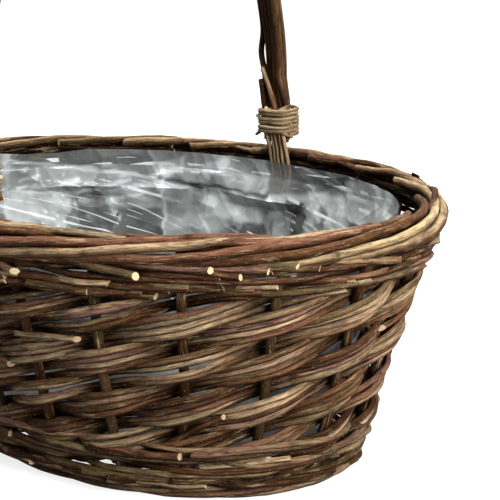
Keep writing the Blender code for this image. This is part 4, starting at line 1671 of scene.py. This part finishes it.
    def build(self) -> None:
        """Makes the foot's rods, its lashing with the ends, and the stubs."""
        side, finish = self.side, self.lash_finish
        put_rods(f"foot_rods_{side}", self.comb(), self.comb_finish, "foot_rod_bark", [f"handle_foot_{side}"])
        put_rods(f"lashing_rod_{side}", [self.lashing()], finish, "lashing_rod", [f"lashing_{side}"])
        put_rods(f"lashing_ends_{side}", self.tucked(), finish, "lashing_rod", [])
        put_rods(f"handle_stubs_{side}", self.stubs(), self.hoop.finish, "hoop_bark", [])


# The film


MM_A_DEGREE = 2.7


def over_film(degrees: Array, height: Array) -> Array:
    """Places on the film's wall as flat millimetres, a little uneven so that straight sides waver.

    Args:
        degrees: Angles round the basket.
        height: Heights in metres.

    Returns:
        The way along the film and the way up it.
    """
    uneven = 0.9 * np.sin(height * 610 + degrees * 0.35) + 0.6 * np.sin(degrees * 1.1 - height * 290)
    return np.stack([degrees * MM_A_DEGREE + uneven, height * 1000 + 0.5 * uneven], axis=-1)


def flat_corners(corners: Pairs) -> Array:
    """Corners given by angle in degrees and height in millimetres, as flat millimetres."""
    return np.array(corners) * np.array([MM_A_DEGREE, 1.0])


@dataclass(frozen=True)
class Patch:
    """A part of the film that is doubled or single: corners by angle in degrees and height in millimetres.

    Its milk is how milky it is, and its tone is painted light and shade.
    """

    corners: Pairs
    milk: float
    tone: float
    soft: float = 2.2

    def cover(self, places: Array) -> Array:
        """How far each place is in the patch: from its least distance inside the sides.

        Args:
            places: Flat millimetres on the film.

        Returns:
            Nought outside and one inside, with a soft edge between.
        """
        corners = flat_corners(self.corners)
        following = np.roll(corners, -1, axis=0)
        turn = np.sign((corners[:, 0] * following[:, 1] - corners[:, 1] * following[:, 0]).sum())
        inside = np.full(places.shape[:-1], np.inf)
        for start, stop in zip(corners, following):
            along = unit(stop - start)
            side = along[0] * (places[..., 1] - start[1]) - along[1] * (places[..., 0] - start[0])
            inside = np.minimum(inside, turn * side)
        return np.clip(0.5 + inside / self.soft, 0, 1)


@dataclass(frozen=True)
class Fold:
    """A sharp fold line on the film, pale where it catches light or dark where it hides a gap.

    A pale one is a painted highlight, and a dark one a painted shadow.
    """

    corners: Pairs
    dark: bool = False
    width: float = 1.1

    def cover(self, places: Array) -> Array:
        """How near each place is to the line: exp(-(distance / width)^2).

        Args:
            places: Flat millimetres on the film.

        Returns:
            One on the line, falling to nought away from it.
        """
        corners = flat_corners(self.corners)
        nearest = np.full(places.shape[:-1], np.inf)
        for start, stop in zip(corners[:-1], corners[1:]):
            way = stop - start
            share = np.clip(((places - start) @ way) / (way @ way), 0, 1)
            nearest = np.minimum(nearest, np.linalg.norm(places - start - share[..., None] * way, axis=-1))
        return np.exp(-((nearest / self.width) ** 2))


# Patches of film: milk is doubled or single film, and tone is painted light and shade, for bright facets and
# dark ones.
PATCHES = (
    Patch(((164, 164), (124, 164), (119, 137), (164, 150)), 0.62, 0.40),
    Patch(((164, 150), (119, 137), (117, 90), (172, 90)), 0.68, 0.46),
    Patch(((164, 150), (137, 141), (138, 133), (166, 130)), 0.76, 0.62),
    Patch(((144, 127), (118, 125), (117, 90), (145, 90)), 0.70, 0.29),
    Patch(((168, 130), (145, 125), (151, 90), (172, 90)), 0.82, 0.80),
    Patch(((135, 127), (118, 134), (118, 118), (133, 117)), 0.68, 0.72, 5.0),
    Patch(((118, 139), (106, 133), (87, 133), (83, 90), (117, 90)), 0.94, 0.56, 1.2),
    Patch(((106, 129), (86, 130), (89, 115), (106, 115)), 0.97, 1.20, 4.0),
    Patch(((94, 114), (86, 115), (82, 90), (94, 90)), 0.68, 0.27, 3.0),
    Patch(((124, 164), (91, 164), (88, 134), (104, 135), (120, 137)), 0.88, 0.56),
    Patch(((108, 147), (101, 153), (101, 147), (106, 140)), 0.95, 0.95, 4.0),
    Patch(((120, 145), (113, 152), (113, 147), (118, 137)), 0.95, 0.90, 4.0),
    Patch(((92, 164), (77, 162), (61, 144), (87, 133)), 0.80, 0.26, 3.0),
    Patch(((86, 133), (63, 142), (55, 120), (82, 90)), 0.88, 0.96),
    Patch(((81, 134), (75, 135), (72, 105), (77, 100)), 0.78, 0.25, 3.0),
    Patch(((74, 139), (64, 141), (60, 121), (69, 115)), 0.92, 1.10, 4.0),
    Patch(((70, 134), (67, 134), (65, 121), (67, 120)), 0.80, 0.50, 3.0),
    Patch(((64, 152), (42, 162), (22, 160), (37, 134), (58, 122)), 0.96, 0.88, 1.5),
    Patch(((43, 156), (29, 157), (35, 145), (42, 136)), 0.92, 0.92, 3.0),
)
# Fold lines: the dark ones are painted shadows, and the pale ones painted highlights.
FOLDS = (
    Fold(((120, 137), (104, 134), (86, 133)), dark=True, width=1.4),
    Fold(((111, 135), (106, 131)), dark=True, width=1.8),
    Fold(((164, 150), (142, 142), (120, 137))),
    Fold(((118, 137), (118, 118), (117, 96))),
    Fold(((162, 136), (155, 139), (154, 129))),
    Fold(((162, 129), (144, 125))),
    Fold(((149, 125), (137, 130), (128, 136))),
    Fold(((135, 121), (121, 128), (118, 133))),
    Fold(((80, 156), (62, 144))),
    Fold(((106, 131), (107, 114), (102, 101))),
    Fold(((85, 133), (80, 110))),
    Fold(((64, 149), (59, 122))),
    Fold(((35, 157), (41, 135))),
)


@dataclass
class Liner:
    """The film bag: the frame's folded bag, with finer creases between its folds.

    A fold share pairs a ring's height, as a share of the wall, with its depth, as a share of the folds'.
    """

    wall: Wall
    top_height: float = 0.156
    top_inset: float = 0.0168
    floor_inset: float = 0.0145
    corner_radius: float = 0.0120
    floor: float = 0.0206
    steps: int = 44
    fold_depth: float = 0.0085
    fold_waves: tuple[int, int] = (7, 12)
    fold_turn: float = math.radians(115)
    fold_shares: Pairs = (
        (1.00, 0.05), (0.90, 0.12), (0.80, 1.00), (0.74, 0.30),
        (0.60, 0.65), (0.42, 0.12), (0.20, 0.55), (0.00, 0.10),
    )
    middle_inset: float = 0.088
    rows_between_folds: tuple[int, ...] = (10, 10, 8, 12, 16, 18, 12, 5, 5, 14)
    crumple_shares: tuple[float, ...] = (0.25, 0.7, 1.0, 1.0, 1.0, 1.0, 0.7, 0.4, 0.2, 0.12, 0.1)
    floor_from: int = 9
    columns_a_step: int = 13
    crumple: float = 0.0030
    droop: float = 0.0022
    droop_rows: int = 14
    finish: FilmFinish = FilmFinish()
    cut: tuple[float, float] = (0.540, 0.450)
    patches: tuple[Patch, ...] = PATCHES
    fold_lines: tuple[Fold, ...] = FOLDS

    def looks(self, points: Array) -> dict[str, Array]:
        """How milky, how pale and how creased the film is at each point.

        How pale it is carries painted light and shade.

        Away from the patches the film is doubled or single where an uneven wave is high or low.

        Args:
            points: The film's points, ring by ring.

        Returns:
            film_milk, film_tone_and_shading and film_crease_and_highlight by point.
        """
        degrees = np.broadcast_to(360 * np.arange(points.shape[1]) / points.shape[1], points.shape[:-1])
        places = over_film(degrees, points[..., 2])
        doubled = np.clip(0.5 + 3.0 * triangle_waves(points * 0.4, 5), 0, 1)
        milk, tone = 0.60 + 0.3 * doubled, 0.42 + 0.35 * doubled
        crease = 0.3 * crease_of(points)
        # Patches set milk and tone; the tone is painted light and shade.
        for patch in self.patches:
            cover = patch.cover(places)
            milk, tone = milk + (patch.milk - milk) * cover, tone + (patch.tone - tone) * cover
            crease = np.maximum(crease * (1 - 0.5 * cover), 1.6 * cover * (1 - cover))
        for fold in self.fold_lines:
            cover = fold.cover(places)
            # A dark fold is a painted shadow; a pale one adds a painted highlight to the creases.
            if fold.dark:
                milk, tone = milk + (0.85 - milk) * cover, tone * (1 - 0.92 * cover)
                crease = crease * (1 - cover)
            else:
                crease = np.maximum(crease, 0.7 * cover)
        # Painted shade: film that hangs over, facing down, is darker.
        tone = tone * (1 - 0.55 * np.clip((overhang_of(points) - 0.6) / 0.25, 0, 1))
        return {"film_milk": milk, "film_tone_and_shading": tone, "film_crease_and_highlight": crease}

    def folds(self) -> Array:
        """The frame's rings of points: down the folded wall, round the corner, and one in the middle.

        A ring's film is pushed in by depth (0.5 + 0.3 sin(7 a + turn) + 0.2 sin(12 a - turn)), a the angle.

        Returns:
            Points by ring and angle.
        """
        theta = math.tau * np.arange(self.steps) / self.steps
        corner_top = self.floor + self.corner_radius
        rings = []
        for row, (share, depth) in enumerate(self.fold_shares):
            height = corner_top + (self.top_height - corner_top) * share
            inset = self.floor_inset + (self.top_inset - self.floor_inset) * share
            long_wave = np.sin(self.fold_waves[0] * theta + self.fold_turn * row)
            short_wave = np.sin(self.fold_waves[1] * theta - self.fold_turn * row)
            push = self.fold_depth * depth * (0.5 + 0.3 * long_wave + 0.2 * short_wave)
            rings.append(self.ring(theta, inset, height, push))
        for turn in (math.pi / 4, math.pi / 2):
            inset = self.floor_inset + self.corner_radius * (1 - math.cos(turn))
            rings.append(self.ring(theta, inset, self.floor + self.corner_radius * (1 - math.sin(turn)), 0.0))
        rings.append(self.ring(theta, self.middle_inset, self.floor, 0.0))
        return np.stack(rings)

    def ring(self, theta: Array, inset: float, height: float, push: Array | float) -> Array:
        """An oval ring of the film, pushed in square to itself.

        Args:
            theta: Angles of its points.
            inset: How far inside the wall it lies.
            height: Its height.
            push: How far its points are pushed in.

        Returns:
            Its points.
        """
        half_length, half_width = self.wall.half_sizes(height)
        a, b = half_length - inset, half_width - inset
        inward = -unit(np.stack([b * np.cos(theta), a * np.sin(theta), np.zeros_like(theta)], axis=-1))
        on = np.stack([a * np.cos(theta), b * np.sin(theta), np.full_like(theta, height)], axis=-1)
        return on + np.broadcast_to(push, theta.shape)[:, None] * inward

    def straight(self) -> Array:
        """The folds with straight film between them.

        Returns:
            Points by row and column.
        """
        rings = self.folds()
        closed = np.concatenate([rings, rings[:, :1]], axis=1)
        step, share = np.divmod(np.arange(self.steps * self.columns_a_step) / self.columns_a_step, 1)
        step = step.astype(int)
        fine = closed[:, step] * (1 - share)[None, :, None] + closed[:, step + 1] * share[None, :, None]
        rows = [
            fine[number] + (fine[number + 1] - fine[number]) * part
            for number, count in enumerate(self.rows_between_folds)
            for part in np.arange(count) / count
        ]
        return np.stack([*rows, fine[-1]])

    def crumpled(self, base: Array) -> Array:
        """The film with creases of triangle waves, pushed in on the wall and up on the floor.

        Its upper edge droops a little in places.

        Args:
            base: The straight film's points.

        Returns:
            Points by row and column.
        """
        wall, folds = self.wall, len(self.rows_between_folds)
        fold = np.repeat(np.arange(folds), self.rows_between_folds)
        share = np.array(self.crumple_shares)[np.append(fold, folds)][:, None]
        theta = math.tau * np.arange(base.shape[1]) / base.shape[1]
        x, y = wall.base_half_width * np.cos(theta), wall.base_half_length * np.sin(theta)
        inward = -unit(np.stack([x, y, np.zeros_like(theta)], axis=-1))
        push = self.crumple * share * np.clip(0.6 + triangle_waves(base, 77), 0, None)
        on_floor = np.zeros((len(base), 1))
        on_floor[fold.searchsorted(self.floor_from):] = 1.0
        points = base + (push * (1 - on_floor))[..., None] * inward
        points[..., 2] += push * on_floor
        below_edge = np.arange(len(base))[:, None] / self.droop_rows
        points[..., 2] -= self.droop * np.clip(droop_wave(theta), 0, 1) * np.clip(1 - below_edge, 0, 1)
        return points

    def build(self) -> None:
        points = self.crumpled(self.straight())
        rows, columns = points.shape[:2]
        middle = points[-1].mean(0, keepdims=True)
        turn, last = np.arange(columns), (rows - 1) * columns
        centre = np.full(columns, rows * columns)
        closing = np.stack([centre, last + turn, last + (turn + 1) % columns], axis=-1)
        flat = np.concatenate([points.reshape(-1, 3), middle])
        made = put_mesh("film_liner", flat, grid_quads(rows, columns)[:, ::-1], closing[:, ::-1])
        for name, values in self.looks(points).items():
            data = made.data.attributes.new(name, "FLOAT", "POINT").data
            data.foreach_set("value", np.append(values.ravel(), 0.5))
        made.data.materials.append(self.finish.material())
        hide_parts("liner")
        log.info("film_liner: %d points, for liner", rows * columns)


def droop_wave(theta: Array) -> Array:
    """An uneven closed wave round the basket: a sum of sines of 5, 7 and 9 waves, each one lower.

    Args:
        theta: Angles round the basket.

    Returns:
        The wave at each angle, from about -1 to 1.
    """
    rng = np.random.default_rng(44)
    total = np.zeros_like(theta)
    for rank, waves in enumerate((5, 7, 9)):
        total += np.sin(waves * theta + rng.uniform(0, math.tau)) / (1 + 0.6 * rank)
    return total / 1.8


FACETS = ((0.060, 1.0), (0.040, 0.85), (0.027, 0.62), (0.018, 0.42), (0.012, 0.26))


def triangle_waves(places: Array, seed: int) -> Array:
    """Sum of triangle waves 4|f - 1/2| - 1, f the fraction of k . p + phase, which makes flat facets.

    There are two waves of each length, each on a random way, and the places are bent a little first.

    Args:
        places: Points.
        seed: Seed of the waves' ways and phases.

    Returns:
        The sum at each point, from about -1 to 1.
    """
    rng = np.random.default_rng(seed)
    bent = places + 0.008 * np.sin(places[..., [1, 2, 0]] * 60.0 + 1.3)
    total = np.zeros(places.shape[:-1])
    for length, size in FACETS:
        for _ in range(2):
            way = rng.normal(size=3)
            way = way / np.linalg.norm(way)
            f = (bent @ way / length + rng.uniform()) % 1.0
            total += size * (4 * np.abs(f - 0.5) - 1)
    return total / 2.2


def crease_of(points: Array) -> Array:
    """Where the film bends sharply: the size of the second differences, scaled to 0 to 1.

    Args:
        points: The film's points by row and column.

    Returns:
        The crease at each point.
    """
    across = np.linalg.norm(np.roll(points, 1, axis=1) + np.roll(points, -1, axis=1) - 2 * points, axis=-1)
    down = np.zeros_like(across)
    down[1:-1] = np.linalg.norm(points[2:] + points[:-2] - 2 * points[1:-1], axis=-1)
    bend = np.maximum(across, 0.8 * down)
    return np.clip(bend / np.percentile(bend, 96), 0, 1) ** 1.5


def overhang_of(points: Array) -> Array:
    """How far each bit of film hangs over.

    Args:
        points: The film's points by row and column.

    Returns:
        Nought where its inner side faces up, a half where it is upright, and one where it faces down.
    """
    along = np.roll(points, -1, axis=1) - np.roll(points, 1, axis=1)
    facing = unit(np.cross(along, np.gradient(points, axis=0)))
    return np.clip(0.5 - 0.5 * facing[..., 2], 0, 1)


# The studio


def look_from(made: bpy.types.Object, place: Array, back: Array, right: Array) -> None:
    """Puts an object that looks along its own -Z at a place.

    Args:
        made: The camera or lamp.
        place: Where it stands.
        back: The way that it looks away from.
        right: The way to its right.
    """
    turned = np.eye(4)
    turned[:3] = np.column_stack([right, np.cross(back, right), back, place])
    made.matrix_world = Matrix(turned.tolist())


@dataclass(frozen=True)
class Lamp:
    """A square soft lamp that faces the basket."""

    name: str
    place: tuple[float, float, float]
    size: float
    power: float

    def build(self, target: Array) -> None:
        """Adds the lamp.

        Args:
            target: What it faces.
        """
        data = bpy.data.lights.new(self.name, "AREA")
        data.shape, data.size, data.energy = "SQUARE", self.size, self.power
        back = unit(np.array(self.place) - target)
        look_from(put_in_scene(self.name, data), np.array(self.place), back, unit(np.cross(UP, back)))


@dataclass
class Studio:
    """A white floor and world, soft lamps above, to the right and behind, and the camera.

    The focal length and the picture's side are pixels, and the angles are radians.
    """

    azimuth: float = 0.6617
    elevation: float = 0.2449
    distance: float = 0.8532
    focus: float = 1363.5
    picture: float = 500.0
    right_shift: float = 0.0638
    up_shift: float = 0.0159
    centre_height: float = 0.1
    lamp_target: float = 0.12
    lamps: tuple[Lamp, ...] = (
        Lamp("lamp_above", (-0.25, -0.12, 1.6), 0.7, 38.0),
        Lamp("lamp_right", (1.75, -0.28, 0.75), 0.7, 57.0),
        Lamp("lamp_back", (-0.80, 1.40, 1.0), 0.8, 10.0),
    )
    world_strength: float = 0.06
    floor_half_side: float = 6.0
    floor_grey: float = 0.42
    white: tuple[float, float, float, float] = (1.0, 1.0, 1.0, 1.0)

    def camera(self) -> None:
        """The camera, at the photograph's angle and distance, with no shift."""
        phi, e = self.azimuth, self.elevation
        right = np.array([math.cos(phi), math.sin(phi), 0.0])
        back = np.array([math.sin(phi) * math.cos(e), -math.cos(phi) * math.cos(e), math.sin(e)])
        up = np.cross(back, right)
        target = self.centre_height * UP + self.right_shift * right + self.up_shift * up
        data = bpy.data.cameras.new("camera")
        data.sensor_width = 36.0
        data.lens = self.focus / self.picture * data.sensor_width
        data.clip_start, data.clip_end = 0.05, 30.0
        made = put_in_scene("camera", data)
        look_from(made, target + self.distance * back, back, right)
        bpy.context.scene.camera = made

    def world(self) -> None:
        """A white world that lights softly and looks white to the camera, in gloss and through film."""
        world = bpy.data.worlds.new("studio")
        bpy.context.scene.world = world
        world.use_nodes = True
        make = Shader(world.node_tree)
        soft = make.node("Background", {"Color": self.white, "Strength": self.world_strength})
        bright = make.node("Background", {"Color": self.white, "Strength": 1.0})
        mixed = make.node("MixShader", {0: make.seen(), 1: soft.outputs[0], 2: bright.outputs[0]})
        make.node("OutputWorld", {"Surface": mixed.outputs[0]})

    def floor(self) -> None:
        """A matt floor that keeps the basket's shadow, and glows so that it looks white farther out."""
        side = self.floor_half_side
        corners = [(-side, -side, 0.0), (side, -side, 0.0), (side, side, 0.0), (-side, side, 0.0)]
        mesh = bpy.data.meshes.new("floor")
        mesh.from_pydata(corners, [], [[0, 1, 2, 3]])
        made = put_in_scene("floor", mesh)
        material, make = new_material("floor_white")
        place = make.node("TexCoord").outputs["Object"]
        away = make.node("VectorMath", {0: place}, operation="LENGTH").outputs["Value"]
        glow = make.math("MULTIPLY", make.seen(), make.remap(away, 0.25, 1.6, 0.82, 1.0))
        matt = make.node("BsdfDiffuse", {"Color": (*[self.floor_grey] * 3, 1.0)})
        lift = make.node("Emission", {"Color": self.white, "Strength": glow})
        both = make.node("AddShader", {0: matt.outputs[0], 1: lift.outputs[0]})
        make.node("OutputMaterial", {"Surface": both.outputs[0]})
        mesh.materials.append(material)

    def build(self) -> None:
        """Sets the studio up."""
        self.camera()
        self.world()
        self.floor()
        for lamp in self.lamps:
            lamp.build(self.lamp_target * UP)
        bpy.context.scene.view_settings.view_transform = "Standard"
        log.info("studio: camera, floor, world and lamps")


def main() -> None:
    """Builds the basket over its frame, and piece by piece."""
    logging.basicConfig(level=logging.INFO, format="%(message)s")
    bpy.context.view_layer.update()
    wall = Wall()
    Studio().build()
    Stakes(wall).build()
    Border(wall).build()
    Weave(wall).build()
    Rounds(wall).build()
    Base(wall).build()
    hoop = Hoop()
    hoop.build()
    HandleFoot(wall, hoop, "back", 1.0, 641).build()
    HandleFoot(wall, hoop, "front", -1.0, 643).build()
    Liner(wall).build()


if __name__ == "__main__":
    main()
